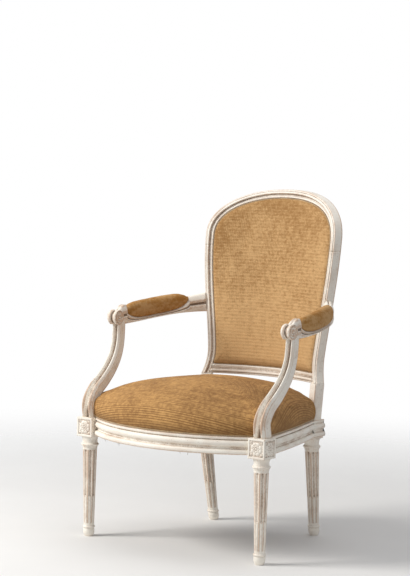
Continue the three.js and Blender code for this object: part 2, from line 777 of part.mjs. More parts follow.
function armSupport() {
  const height = scrollZ - scrollRadius - supportFootZ;
  const line = new THREE.SplineCurve(supportCurveShares.map(([y, z]) => (
    new THREE.Vector2(y * supportTopY, supportFootZ + z * height))));
  const steps = 11;
  const rings = Array.from({ length: steps + 1 }, (_, i) => {
    const share = i / steps;
    const point = line.getPoint(share);
    const along = i === 0 ? new THREE.Vector2(0, 1) : line.getTangent(share);
    const half = mix(supportFootSide, supportTopSide, Math.min(1, share * 1.25)) / 2;
    return supportShares.map(([across, front]) => at(
      frontLegX + across * half,
      point.x - along.y * front * half,
      point.y + along.x * front * half,
    ));
  });
  const body = loft(rings, supportShares.map(([across, front]) => new THREE.Vector2(across, front)));
  const reach = scrollRadius + seam;
  const room = new THREE.CylinderGeometry(reach, reach, 2 * scrollWidth, 32);
  room.rotateZ(armTurn);
  room.translate(scrollX, scrollY, scrollZ);
  return toGeometry(toSolid(body).subtract(toSolid(room)));
}

// Seat upholstery

// Plan outline of the seat at a distance inside the outer faces of the rails, anticlockwise from the front
function seatOutline(inset) {
  const half = [];
  for (const { x, drop } of arcLine(frontInnerX, frontBow, 8, 0).filter((point) => point.x > -seam)) {
    half.push(new THREE.Vector2(Math.max(0, x), frontRailY - drop + inset));
  }
  half.push(new THREE.Vector2(sideFront.x - inset, frontRailY + inset));
  for (let i = 1; i <= 4; i += 1) {
    const point = sideLine(i / 4);
    half.push(new THREE.Vector2(point.x - inset, point.y));
  }
  half.push(new THREE.Vector2(sideRear.x - inset, rearRailY - inset));
  const rearLine = arcLine(rearInnerX, rearBow, 6, 0).filter((point) => point.x > -seam).reverse();
  for (const { x, drop } of rearLine) {
    half.push(new THREE.Vector2(Math.max(0, x), rearRailY + drop - inset));
  }
  const other = half.slice(1, -1).reverse().map((point) => new THREE.Vector2(-point.x, point.y));
  return [...half, ...other];
}

// Rings of a seat body: the outline drawn in towards the crown, each at its height above the rails
function seatRings(outline, levels) {
  return levels.map(([scale, height]) => outline.map((point) => (
    at(point.x * scale, mix(seatCrownY, point.y, scale), railTop + seam + height))));
}

// Crowned seat: how far out from the crown, how much it swells there, and how high above the rails
const cushionShares = [
  [1, 0, 0], [1, 0.7, 0.13], [1, 1, 0.21], [1, 0.7, 0.3], [1, 0, 0.394], [0.971, 0, 0.472],
  [0.884, 0, 0.605], [0.744, 0, 0.752], [0.554, 0, 0.881], [0.316, 0, 0.969], [0, 0, 1],
];

// Dome of the cloth over the springs: a flat lap on the rails, a rise, a nearly flat top
const hessianShares = [[1, 0], [0.9, 0], [0.78, 0.75], [0.6, 0.97], [0, 1]];

const hessianInset = railThickness - hessianLap;

function seatCushion() {
  const outline = seatOutline(seatEdgeInset);
  const levels = cushionShares.map(([scale, swell, up]) => (
    [scale + (swell * seatBulge) / frontLegX, up * seatCrown]));
  let solid = toSolid(loft(seatRings(outline, levels), outline));
  const room = hessianShares.map(([scale, up]) => [scale, up * hessianRise + hessianThickness + seam]);
  const inner = seatOutline(hessianInset - seam);
  solid = solid.subtract(toSolid(loft(seatRings(inner, [[1, -overrun], ...room]), inner)));
  return solid;
}

function seatHessian() {
  const outline = seatOutline(hessianInset);
  const under = hessianShares.map(([scale, up]) => [scale, up * hessianRise]).reverse();
  const over = hessianShares.map(([scale, up]) => [scale, up * hessianRise + hessianThickness]);
  return loft(seatRings(outline, [...under, ...over]), outline);
}

// Height of the dome's underside over a point of the plan
function domeHeight(x, y) {
  const outline = seatOutline(hessianInset);
  const dy = y - seatCrownY;
  let scale = 0;
  outline.forEach((a, i) => {
    const b = outline[(i + 1) % outline.length];
    const ex = b.x - a.x;
    const ey = b.y - a.y;
    const cross = x * ey - dy * ex;
    const along = (a.x * ey - (a.y - seatCrownY) * ex) / cross;
    const across = (a.x * dy - (a.y - seatCrownY) * x) / cross;
    if (along > 0 && across >= 0 && across <= 1) {
      scale = Math.max(scale, 1 / along);
    }
  });
  const i = Math.max(1, hessianShares.findIndex(([share]) => share <= scale));
  const [outer, low] = hessianShares[i - 1];
  const [near, high] = hessianShares[i];
  return railTop + seam + hessianRise * mix(low, high, (outer - scale) / (outer - near));
}

// Webbing and springs

const webLevel = railBottom - seam - webThickness / 2;
const webWave = webThickness / 2 + seam;
const seatMiddleY = (frontRailY - frontBow + rearRailY + rearBow) / 2;

const dropAt = (x, halfChord, bow) => {
  const radius = (halfChord ** 2 + bow ** 2) / (2 * bow);
  return Math.sqrt(radius ** 2 - x ** 2) - radius + bow;
};

// A flat strap that passes over and under the straps it crosses. place(along, across) gives x and y.
function strap(first, last, crossings, firstSign, place) {
  const flat = webWidth / 2 + webThickness;
  const landing = webLap + webWidth / 4;
  const stations = [[first, 0], [first + landing, 0]];
  crossings.forEach((middle, i) => {
    const sign = firstSign * (i % 2 ? -1 : 1);
    stations.push([middle - flat, sign * webWave], [middle + flat, sign * webWave]);
  });
  stations.push([last - landing, 0], [last, 0]);
  const corners = [[-1, -1], [1, -1], [1, 1], [-1, 1]];
  const rings = stations.map(([along, lift]) => corners.map(([across, up]) => {
    const point = place(along, (across * webWidth) / 2);
    return at(point.x, point.y, webLevel + lift + (up * webThickness) / 2);
  }));
  return loft(rings, corners.map(([a, b]) => new THREE.Vector2(a, b)));
}

const spread = (count, pitch) => Array.from({ length: count }, (_, i) => (i - (count - 1) / 2) * pitch);

function webbing() {
  const columns = spread(lengthwiseWebCount, webPitch);
  const rows = spread(crosswiseWebCount, crossPitch).map((offset) => seatMiddleY + offset);
  columns.forEach((x, i) => {
    const outer = Math.abs(x) + webWidth / 2;
    const first = frontRailY - dropAt(outer, frontInnerX, frontBow) + railThickness - webLap;
    const last = rearRailY + dropAt(outer, rearInnerX, rearBow) - railThickness + webLap;
    const web = strap(first, last, rows, i % 2 ? -1 : 1, (along, across) => at(x + across, along, 0));
    add(`lengthwise_web_${i + 1}`, web, jute);
  });
  rows.forEach((y, i) => {
    const share = (y - sideFront.y) / (sideRear.y - sideFront.y);
    const reach = sideLine(share).x - railThickness + webLap;
    const web = strap(-reach, reach, columns, i % 2 ? 1 : -1, (along, across) => at(along, y + across, 0));
    add(`crosswise_web_${i + 1}`, web, jute);
  });
}

const wireSides = 5;

// An hourglass spring between the webbing and the dome above it
function spring(x, y) {
  const far = 1 + springEndRadius / Math.hypot(x, y - seatCrownY);
  const roof = Math.min(domeHeight(x * far, mix(seatCrownY, y, far)), domeHeight(x, y));
  const base = webLevel + webWave + webThickness / 2 + seam + springWire / 2;
  const top = roof - springWire;
  const steps = springTurns * 7;
  const sides = Array.from({ length: wireSides }, (_, i) => (i * tau) / wireSides);
  const line = Array.from({ length: steps + 1 }, (_, i) => {
    const share = i / steps;
    const radius = mix(springEndRadius, springWaistRadius, Math.sin(Math.PI * share));
    const angle = share * springTurns * tau;
    return { angle, radius, z: mix(base, top, share) };
  });
  const rings = line.map(({ angle, radius, z }) => sides.map((side) => {
    const reach = radius + (Math.cos(side) * springWire) / 2;
    const rise = (Math.sin(side) * springWire) / 2;
    return at(x + reach * Math.cos(angle), y + reach * Math.sin(angle), z + rise);
  }));
  const least = (top - base) / springTurns - springWire;
  console.log(`spring: least gap between its turns ${least.toFixed(1)} mm`);
  return loft(rings, sides.map((side) => new THREE.Vector2(Math.cos(side), Math.sin(side))));
}

function springs() {
  const places = [[0, 0], [-1, -1], [1, -1], [-1, 1], [1, 1]];
  places.forEach(([column, row], i) => {
    const y = seatMiddleY + row * springSpacing + seam;
    add(`seat_spring_${i + 1}`, spring(column * springSpacing, y), steel);
  });
}

// Back upholstery

// Inner outline of the back frame, point for point with its stations, or that of its visible face where the
// rebate is left out
function backOpening(rebate) {
  const inset = softGap - rebate;
  const floor = backFoot + bottomRailHeight + inset;
  const floorSteps = 5;
  const corner = stileEdge(floor) - stileWidth - inset;
  const half = Array.from({ length: floorSteps + 1 }, (_, i) => (
    new THREE.Vector2((corner * i) / floorSteps, floor)));
  stileHeights().filter((z) => z > floor + softGap).forEach((z) => {
    half.push(new THREE.Vector2(backHalf(z) - stileWidth - inset, z));
  });
  crestStations().forEach((s) => {
    half.push(new THREE.Vector2(s.x + s.inX * (s.width + inset), s.z + s.inZ * (s.width + inset)));
  });
  const other = half.slice(1, -1).reverse().map((point) => new THREE.Vector2(-point.x, point.y));
  return [...half, ...other];
}

// A panel within an outline, through levels of scale about its middle and depth behind the front face
function backPanel(outline, levels) {
  const middle = (backFoot + backTop) / 2;
  const rings = levels.map(([scale, depth]) => outline.map((point) => (
    backPoint(point.x * scale, mix(middle, point.y, scale), depth))));
  return loft(rings, outline);
}

// Crowned front of the back's pad: how far out from its middle, and how far before the frame's front
const backCrownShares = [[1, 0.25], [0.98, -0.05], [0.93, -0.35], [0.82, -0.68], [0.6, -0.92], [0, -1]];

// A flat face at a depth, and a skin between two such faces
const flat = (depth) => [[0, depth], [0.5, depth], [1, depth]];
const skin = (depth, thickness) => [...flat(depth), ...flat(depth + thickness).reverse()];

// The pad fills the frame's opening and laps into its rebate. Lining and cover stay inside the opening.
function backUpholstery() {
  const opening = backOpening(0);
  const crown = backCrownShares.map(([scale, depth]) => [scale, depth * backCrown]);
  add('back_pad', backPanel(backOpening(rebateWidth), [...flat(rebateDepth - seam), ...crown]), cloth);
  join('back_pad', backPanel(opening, skin(backPadThickness, rebateDepth / 2 - backPadThickness)));
  add('back_lining', backPanel(opening, skin(backPadThickness + seam, backLiningThickness)), jute);
  const cover = backThickness - backCoverInset - backCoverThickness;
  add('back_cover_panel', backPanel(opening, skin(cover, backCoverThickness)), cloth);
}

// Joints

// A tenon grown on one piece and its mortise, with clearance, in the other
function tenon(from, into, centre, size, turn, mirror) {
  join(from, mirror(block(centre, size, turn)));
  cut(into, mirror(block(centre, size, turn, seam)));
}

// The box of a tenon that starts at a shoulder, with its root sunk into its own piece
function reachBox(shoulder, direction, thickness, height, length) {
  const centre = shoulder.clone().addScaledVector(direction, (length - tenonRoot) / 2);
  const size = at(length + tenonRoot, thickness, height);
  return { centre, size, turn: Math.atan2(direction.y, direction.x) };
}

const railMiddle = railTop - railHeight / 2;

function seatJoints(side, mirror) {
  const leg = `${side}_front_leg`;
  const rear = `${side}_rear_leg`;
  const rail = `${side}_seat_rail`;
  const rearTenonY = rearRailY - railThickness / 2;
  const rearTenonX = sideRear.x - railThickness / 2;
  const joints = [
    ['front_seat_rail', leg, at(frontInnerX, 0, railMiddle), at(1, 0, 0)],
    [rail, leg, at(frontLegX, blockSide / 2, railMiddle), at(0, -1, 0)],
    [rail, rear, at(rearTenonX, sideRear.y, railMiddle), at(0, 1, 0)],
    ['rear_seat_rail', rear, at(rearInnerX, rearTenonY, railMiddle), at(1, 0, 0)],
  ];
  joints.forEach(([from, into, shoulder, direction]) => {
    const box = reachBox(shoulder, direction, tenonThickness, tenonHeight, tenonLength);
    tenon(from, into, box.centre, box.size, box.turn, mirror);
  });
  const through = tenonThickness / 2 + pegPast;
  const high = railMiddle + tenonHeight / 4;
  const low = railMiddle - tenonHeight / 4;
  const rearFace = seatDepth + rearBlockSide / 2;
  const forward = at(0, -1, 0);
  return [
    [leg, 'front_seat_rail', at(frontInnerX + pegEdge, blockSide / 2, low), forward, blockSide / 2 + through],
    [leg, rail, at(frontInnerX, blockSide / 2 - pegEdge, high), at(1, 0, 0), blockSide / 2 + through],
    [rear, rail, at(rearInnerX, sideRear.y + pegEdge, high), at(1, 0, 0), rearTenonX - rearInnerX + through],
    [rear, 'rear_seat_rail', at(rearInnerX + pegEdge, rearFace, low), forward, rearFace - rearTenonY + through],
  ];
}

function backJoints(side, mirror) {
  const name = `${side}_back_stile`;
  const middle = (x, z) => backPoint(x, z, backThickness / 2);
  const footX = backHalf(backFoot) - stileWidth / 2;
  const topX = backHalf(crestJointHeight) - stileWidth / 2;
  const size = at(dowelSide, dowelSide, dowelLength + tenonRoot);
  const foot = middle(footX, backFoot - (dowelLength - tenonRoot) / 2);
  const top = middle(topX, crestJointHeight + (dowelLength - tenonRoot) / 2);
  tenon(name, `${side}_rear_leg`, foot, size, backTurn(footX), mirror);
  tenon(name, 'back_crest_rail', top, size, backTurn(topX), mirror);
  const railZ = backFoot + bottomRailHeight / 2;
  const shoulderX = backHalf(railZ) - stileWidth;
  const turn = backTurn(shoulderX);
  const box = reachBox(middle(shoulderX, railZ), at(Math.cos(turn), Math.sin(turn), 0), tenonThickness,
    bottomRailHeight / 2, tenonLength);
  tenon('back_bottom_rail', name, box.centre, box.size, box.turn, mirror);
  const rear = (x) => at(Math.sin(backTurn(x)), -Math.cos(backTurn(x)), 0);
  const length = backThickness / 2 + tenonThickness / 2 + pegPast;
  const crestPegZ = crestJointHeight + dowelLength / 2;
  return [
    ['back_crest_rail', name, backPoint(topX, crestPegZ, backThickness), rear(topX), length],
    [name, 'back_bottom_rail', backPoint(shoulderX + pegEdge, railZ, backThickness), rear(shoulderX), length],
  ];
}

function armJoints(side, mirror) {
  const arm = `${side}_arm_rest`;
  const support = `${side}_arm_support`;
  const armZ = armUnderside(armRun) + armStileHeight / 2;
  const shoulder = armPoint(armRun - tenonRoot, 0, armZ);
  const ahead = armPoint(armRun, 0, armZ).sub(shoulder).normalize();
  const box = reachBox(shoulder, ahead, tenonThickness, armStileHeight / 2, backThickness / 2 + tenonRoot);
  tenon(arm, `${side}_back_stile`, box.centre, box.size, box.turn, mirror);
  const lowered = toGeometry(pieces.get(arm).solid);
  cut(support, lowered);
  cut(support, lowered.translate(0, 0, -seam));
  const size = at(dowelSide, dowelSide, dowelLength);
  const topZ = armUnderside(0);
  tenon(support, arm, at(frontLegX, supportTopY, topZ - tenonRoot + dowelLength / 2), size, 0, mirror);
  const footZ = supportFootZ + tenonRoot - dowelLength / 2;
  tenon(support, `${side}_front_leg`, at(frontLegX, 0, footZ), size, 0, mirror);
}

// Each peg is driven from a face through the cheek of its mortise and the tenon inside it
function pegs(side, mirror, list) {
  list.forEach(([outer, inner, head, into, length], i) => {
    [outer, inner].forEach((name) => {
      const start = head.clone().addScaledVector(into, -overrun);
      cut(name, mirror(pin(start, into, pegRadius + seam, length + overrun + seam)));
    });
    add(`${side}_peg_${i + 1}`, mirror(pin(head, into, pegRadius, length)), beech);
  });
}

// The room that an upright takes where the seat is cut round it
function uprightRoom() {
  const section = plainSection(stileWidth, softGap);
  const heights = [railTop - overrun, backFoot + overrun];
  return loft(heights.map((z) => frameRing(section, backFootHalf, z, -1, 0)), section);
}

// The stuffing and the cloth under it are cut round the arm supports and the uprights
function fitSeat() {
  pieces.set('seat_cushion', { solid: seatCushion(), material: cloth });
  add('seat_hessian', seatHessian(), jute);
  bothSides((side, mirror) => {
    const support = toGeometry(pieces.get(`${side}_arm_support`).solid);
    [[0, softGap], [0, -softGap], [softGap, 0], [-softGap, 0]].forEach(([x, y]) => {
      cut('seat_cushion', support.clone().translate(x, y, 0));
    });
    const size = at(supportFootSide, supportFootSide, railHeight);
    const foot = block(at(frontLegX, 0, railTop), size, 0, softGap);
    ['seat_cushion', 'seat_hessian'].forEach((name) => {
      cut(name, mirror(foot));
      cut(name, mirror(uprightRoom()));
      const parts = pieces.get(name).solid.decompose().sort((a, b) => b.volume() - a.volume());
      pieces.get(name).solid = parts[0];
    });
  });
}

function buildChair() {
  addPair('front_leg', frontLeg(), paint);
  addPair('rear_leg', rearLeg(), paint);
  frontRail();
  addPair('seat_rail', sideRail(), paint);
  rearRail();
  addPair('back_stile', stile(), paint);
  add('back_crest_rail', crestRail(), paint);
  bottomRail();
  addPair('arm_rest', armRest(), paint);
  addPair('arm_pad', armPad(), velvet);
  addPair('arm_support', armSupport(), paint);
  bothSides((side, mirror) => {
    const list = [...seatJoints(side, mirror), ...backJoints(side, mirror)];
    armJoints(side, mirror);
    pegs(side, mirror, list);
  });
  backUpholstery();
  fitSeat();
  webbing();
  springs();
}

buildChair();

const chair = new THREE.Group();
for (const [name, { solid, material }] of pieces) {
  const mesh = new THREE.Mesh(toGeometry(solid), material);
  mesh.name = name;
  chair.add(mesh);
}

// The origin goes under the middle of the chair
const extent = new THREE.Box3().setFromObject(chair);
chair.position.y = -(extent.min.y + extent.max.y) / 2;
chair.updateMatrixWorld(true);

export default chair;
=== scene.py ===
"""Painted Louis XVI armchair with a hollow arched back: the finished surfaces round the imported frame.

All lengths are in metres. X runs to the right seen from the front, Y to the back, Z up from the floor.
"""
import math
from contextlib import contextmanager

import bmesh
import bpy
import numpy as np
from mathutils import Matrix, Vector

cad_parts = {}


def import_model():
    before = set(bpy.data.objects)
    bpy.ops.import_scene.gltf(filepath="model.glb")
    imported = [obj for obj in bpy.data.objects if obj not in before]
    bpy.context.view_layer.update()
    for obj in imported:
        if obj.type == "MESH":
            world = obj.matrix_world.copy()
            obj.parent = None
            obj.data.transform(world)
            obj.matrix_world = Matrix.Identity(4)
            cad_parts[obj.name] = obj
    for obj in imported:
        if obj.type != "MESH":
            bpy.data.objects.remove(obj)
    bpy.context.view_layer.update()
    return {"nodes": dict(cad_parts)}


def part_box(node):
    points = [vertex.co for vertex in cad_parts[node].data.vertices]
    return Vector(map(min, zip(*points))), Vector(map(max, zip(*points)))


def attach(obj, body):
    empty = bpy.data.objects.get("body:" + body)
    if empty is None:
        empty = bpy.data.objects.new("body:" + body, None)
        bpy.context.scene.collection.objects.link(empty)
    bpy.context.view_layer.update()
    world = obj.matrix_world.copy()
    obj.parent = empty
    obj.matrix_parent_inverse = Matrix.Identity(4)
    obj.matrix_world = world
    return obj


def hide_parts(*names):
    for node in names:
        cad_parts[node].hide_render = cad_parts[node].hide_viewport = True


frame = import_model()

bl_info = {
    "name": "Painted Armchair",
    "version": (1, 0, 0),
    "blender": (4, 5, 0),
    "location": "View3D > Sidebar > Armchair",
    "description": "Builds the finished surfaces of a painted, upholstered armchair",
    "category": "Object",
}

TAU = 2 * math.pi

# Side of a front leg's block
FRONT_BLOCK = 0.049

# Gap left where two pieces of wood meet, and how far plain edges are eased
SEAM = 0.0003
EASED_EDGE = 0.0012

# Flutes round a leg
FLUTES = 8

# How stuffing swells a cover: its pressure, its run in frames, and the rounds that ease its ripples
STUFFING_PRESSURE = 4.0
STUFFING_FRAMES = 20
EASING_ROUNDS = 12

# Pitches of the cloths' yarns and of the braid's plait
WARP_PITCH = 0.0012
WEFT_PITCH = 0.0014
PLAIT_PITCH = 0.0042

# How high the springs lift the sacking above the rails
SACKING_RISE = 0.052

# Loose threads: place along the front rail, how far they hang and how far they sway
THREADS = (
    (-0.196, 0.011, 0.004), (-0.192, 0.007, -0.003), (-0.130, 0.009, 0.003), (-0.126, 0.006, 0.005),
    (-0.121, 0.010, -0.002), (0.075, 0.007, 0.004), (0.098, 0.009, -0.003), (0.140, 0.006, 0.003),
)

# The camera: heading, pitch and roll, its place seen from between the front legs, and its focal length in mm
CAMERA_TURN = tuple(math.radians(angle) for angle in (36.5, 4.1, 1.1))
CAMERA_PLACE = (2.9769, -3.9032, 1.0047)
CAMERA_LENS = 125.0

# The lights: name, place, side of the square, power in watts and colour
LIGHTS = (
    ("key_light", (-1.7, -1.9, 2.2), 1.2, 84.0, (1.0, 0.985, 0.96)),
    ("fill_light", (2.4, -1.6, 1.3), 1.8, 5.5, (0.97, 0.98, 1.0)),
    ("top_light", (0.2, 0.3, 2.8), 2.0, 16.0, (1.0, 1.0, 1.0)),
)
SOFT_SKY = (0.93, 0.95, 1.0, 1.0)
WHITE = (1.0, 1.0, 1.0, 1.0)


def length(name, description, default):
    """A size that a user may change, in metres."""
    return bpy.props.FloatProperty(
        name=name, description=description, default=default, unit="LENGTH", precision=4
    )


def colour(name, description, default):
    """A colour that a user may change, scene linear."""
    return bpy.props.FloatVectorProperty(
        name=name, description=description, default=default, subtype="COLOR", size=3, min=0.0, max=1.0
    )


class SeatFrameSizes(bpy.types.PropertyGroup):
    """Rails and the blocks that they meet"""

    rail_top: length("Rail top", "Height of the seat rails", 0.307)
    rail_height: length("Rail height", "Height of a seat rail", 0.043)
    rail_thickness: length("Rail thickness", "Thickness of a seat rail", 0.027)
    moulding: length("Moulding depth", "Depth of the rails' moulding", 0.006)
    leg_spacing: length("Front leg spacing", "Between the centres of the front legs", 0.534)
    rear_spacing: length("Rear leg spacing", "Between the centres of the rear blocks", 0.344)
    depth: length("Seat depth", "Front leg centres to rear block centres", 0.360)
    front_bow: length("Front bow", "How far the front rail bows forward", 0.084)
    side_bow: length("Side bow", "How far a side rail bows outward", 0.006)
    rear_bow: length("Rear bow", "How far the rear rail bows back", 0.034)
    setback: length("Rail setback", "Rail face behind the block face", 0.012)
    rear_setback: length("Rear setback", "Rear rail face inside the block face", 0.003)


class LegSizes(bpy.types.PropertyGroup):
    """Turned and fluted legs"""

    block: length("Front block", "Side of a front block", FRONT_BLOCK)
    rear_block: length("Rear block", "Side of a rear block", 0.050)
    block_drop: length("Block drop", "Block below the rails", 0.006)
    neck: length("Neck radius", "Turned neck under the block", 0.020)
    neck_length: length("Neck length", "Block to the middle of the collar", 0.021)
    collar: length("Collar radius", "Ring above the shaft", 0.0225)
    collar_height: length("Collar height", "Height of the ring", 0.006)
    shaft_top: length("Shaft top radius", "Fluted shaft under the collar", 0.0185)
    shaft_foot: length("Shaft foot radius", "Fluted shaft above the ankle", 0.0135)
    ankle: length("Ankle radius", "Ring under the shaft", 0.0155)
    ankle_height: length("Ankle height", "Height of the ankle ring", 0.005)
    foot: length("Foot radius", "Widest part of the foot", 0.0145)
    foot_flat: length("Foot flat radius", "Flat end on the floor", 0.0105)
    foot_height: length("Foot height", "Foot below the ankle", 0.022)
    flute_depth: length("Flute depth", "Depth of a flute", 0.0028)
    cable_top: length("Cable height", "The flutes are filled up to here", 0.106)
    rear_inset: length("Rear foot inset", "Rear foot nearer to the middle than its block", 0.011)
    rear_rake: length("Rear foot rake", "Rear foot further back than its block", 0.038)
    panel: length("Panel side", "Sunk square on a front block", 0.040)
    rosette: length("Rosette radius", "Carved flower on a front block", 0.0165)


class BackSizes(bpy.types.PropertyGroup):
    """Hollow, raked and arched back frame"""

    height: length("Chair height", "Floor to the top of the arch", 0.890)
    foot: length("Back foot", "Height of the joint under the back", 0.398)
    foot_y: length("Back depth", "Front leg centres to the back's foot", 0.410)
    hollow: length("Hollow", "How far the sides come forward", 0.066)
    widest: length("Widest half", "Half width at the shoulders", 0.202)
    waist: length("Waist half", "Half width at the waist", 0.172)
    foot_half: length("Foot half", "Half width at the foot", 0.182)
    waist_height: length("Waist height", "Height of the waist", 0.457)
    widest_height: length("Shoulder height", "Where the arch springs", 0.767)
    thickness: length("Thickness", "Front to back of the frame", 0.026)
    stile: length("Stile width", "Width of a stile", 0.025)
    crest: length("Crest width", "Width of the arch", 0.029)
    bottom: length("Bottom rail", "Height of the bottom rail", 0.032)
    rebate: length("Rebate width", "Width of the rebate inside the face", 0.007)
    rebate_depth: length("Rebate depth", "Depth of the rebate", 0.008)
    joint_height: length("Crest joint", "Height of the joints in the stiles", 0.738)
    rake: bpy.props.FloatProperty(
        name="Rake", description="Rearward run for each unit of height", default=0.132
    )


class ArmSizes(bpy.types.PropertyGroup):
    """Scrolled arms, their supports and pads"""

    scroll_x: length("Scroll X", "Scroll centre from the middle", 0.271)
    scroll_y: length("Scroll Y", "Scroll centre behind the front legs", 0.100)
    scroll_z: length("Scroll height", "Height of the scroll centre", 0.556)
    scroll: length("Scroll radius", "Radius of the rolled end", 0.019)
    scroll_width: length("Scroll width", "Across the rolled end", 0.028)
    width: length("Arm width", "Width of the wood", 0.026)
    neck: length("Neck height", "Arm height behind the scroll", 0.0465)
    waist: length("Waist height", "Wood left under the pad", 0.009)
    rear: length("Rear height", "Arm height behind the pad", 0.039)
    at_stile: length("Height at stile", "Arm height where it meets the back", 0.048)
    rise: length("Underside rise", "Rise of the arm's underside", 0.024)
    bend_out: length("Bend out", "How far the arm bends out from the scroll", 0.005)
    pad_start: length("Pad start", "Pad from the scroll centre", 0.034)
    pad_gap: length("Pad gap", "Rear end of the pad before the stile", 0.0523)
    pad_width: length("Pad width", "Across the pad", 0.040)
    pad_height: length("Pad height", "Pad with the wood under it", 0.055)
    pad_drop: length("Pad drop", "How far the pad's ends drop", 0.015)
    cradle: length("Cradle rise", "Rise of the wood at the pad's ends", 0.029)
    support_foot: length("Support foot", "Side of the support at its foot", 0.035)
    support_top: length("Support top", "Side of the support at its top", 0.026)
    behind: length("Support behind", "Support's top behind the scroll centre", 0.013)


class SoftSizes(bpy.types.PropertyGroup):
    """Stuffed seat and back, their cloth and braid"""

    crown: length("Seat crown", "Crown of the seat above the rails", 0.114)
    crown_y: length("Crown depth", "Crown behind the front leg centres", 0.1602)
    inset: length("Cloth inset", "Cloth inside the rail faces", 0.009)
    bulge: length("Side bulge", "How far the sides swell out", 0.006)
    back_crown: length("Back crown", "Crown of the back before its frame", 0.012)
    gimp: length("Gimp width", "Width of the braid at the cloth's edge", 0.0075)
    rib: length("Rib pitch", "Pitch of the cloth's ribs", 0.0062)


class Finishes(bpy.types.PropertyGroup):
    """Colours of paint, wear and cloth"""

    paint: colour("Paint", "Cream paint", (0.920, 0.868, 0.775))
    # Dark brown: old staining in specks and hollows, and also painted shade in the hollows
    grime_and_hollow_shade: colour("Grime", "Old dirt in the hollows", (0.150, 0.095, 0.055))
    bare: colour("Bare wood", "Wood where the paint is rubbed", (0.560, 0.345, 0.205))
    cloth: colour("Cloth", "Ribbed cloth", (0.330, 0.165, 0.048))
    cloth_light: colour("Cloth lights", "Raised ribs of the cloth", (0.640, 0.395, 0.175))
    velvet: colour("Velvet", "Pile on the arm pads", (0.350, 0.155, 0.026))
    gimp: colour("Gimp", "Braid at the cloth's edge", (0.600, 0.420, 0.230))
    jute: colour("Jute", "Straps and sacking", (0.300, 0.205, 0.110))
    steel: colour("Steel", "Spring wire", (0.200, 0.190, 0.180))
    beech: colour("Beech", "Peg wood", (0.420, 0.270, 0.150))


def sizes(name):
    """The settings of one group, from the scene."""
    return getattr(bpy.context.scene, "armchair_" + name)


# Where the front leg centres lie in the frame
LEG_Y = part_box("right_front_leg")[1][1] - FRONT_BLOCK / 2


# Surfaces

def smoothstep(low, high, value):
    """0 below low, 1 above high, with a smooth rise between."""
    share = np.clip((np.asarray(value, float) - low) / (high - low), 0.0, 1.0)
    return share * share * (3 - 2 * share)


def unit(vectors):
    """The same directions, each with a length of one."""
    return vectors / np.maximum(np.linalg.norm(vectors, axis=-1, keepdims=True), 1e-12)


def directions(line):
    """Unit directions along an open line of points."""
    return unit(np.gradient(line, axis=0))


def directions_round(path):
    """Unit directions along a closed path of points."""
    return unit(np.roll(path, -1, axis=0) - np.roll(path, 1, axis=0))


def travelled(points):
    """Distance so far along a line, at each of its points."""
    gaps = np.linalg.norm(np.diff(points, axis=0), axis=1)
    return np.concatenate([[0.0], np.cumsum(gaps)])


def curve_through(points, count):
    """A smooth line of count points through given ones: a cubic from each to the next.

    The slope at a point comes from its two neighbours.
    """
    points = np.asarray(points, float)
    knots = travelled(points)
    slope = np.gradient(points, knots, axis=0)
    reach = np.linspace(0, knots[-1], count)
    first = np.clip(np.searchsorted(knots, reach, side="right") - 1, 0, len(points) - 2)
    last = first + 1
    gap = (knots[last] - knots[first])[:, None]
    share = ((reach - knots[first]) / (knots[last] - knots[first]))[:, None]
    square, cube = share**2, share**3
    start = (2 * cube - 3 * square + 1) * points[first] + (cube - 2 * square + share) * gap * slope[first]
    return start + (-2 * cube + 3 * square) * points[last] + (cube - square) * gap * slope[last]


def resample(points, count, closed=False):
    """count points at equal steps along the straight pieces between points."""
    points = np.asarray(points, float)
    if closed:
        points = np.vstack([points, points[:1]])
    knots = travelled(points)
    reach = np.linspace(0, knots[-1], count, endpoint=not closed)
    return np.stack([np.interp(reach, knots, values) for values in points.T], axis=1)


def rounded_profile(points, radius, count):
    """A closed outline with its corners eased: the polygon in fine steps, averaged over a short run."""
    fine = resample(points, count, closed=True)
    perimeter = np.linalg.norm(np.roll(fine, -1, axis=0) - fine, axis=1).sum()
    reach = max(1, int(round(radius / (perimeter / count))))
    total = np.zeros_like(fine)
    for shift in range(-reach, reach + 1):
        total += np.roll(fine, shift, axis=0)
    return total / (2 * reach + 1)


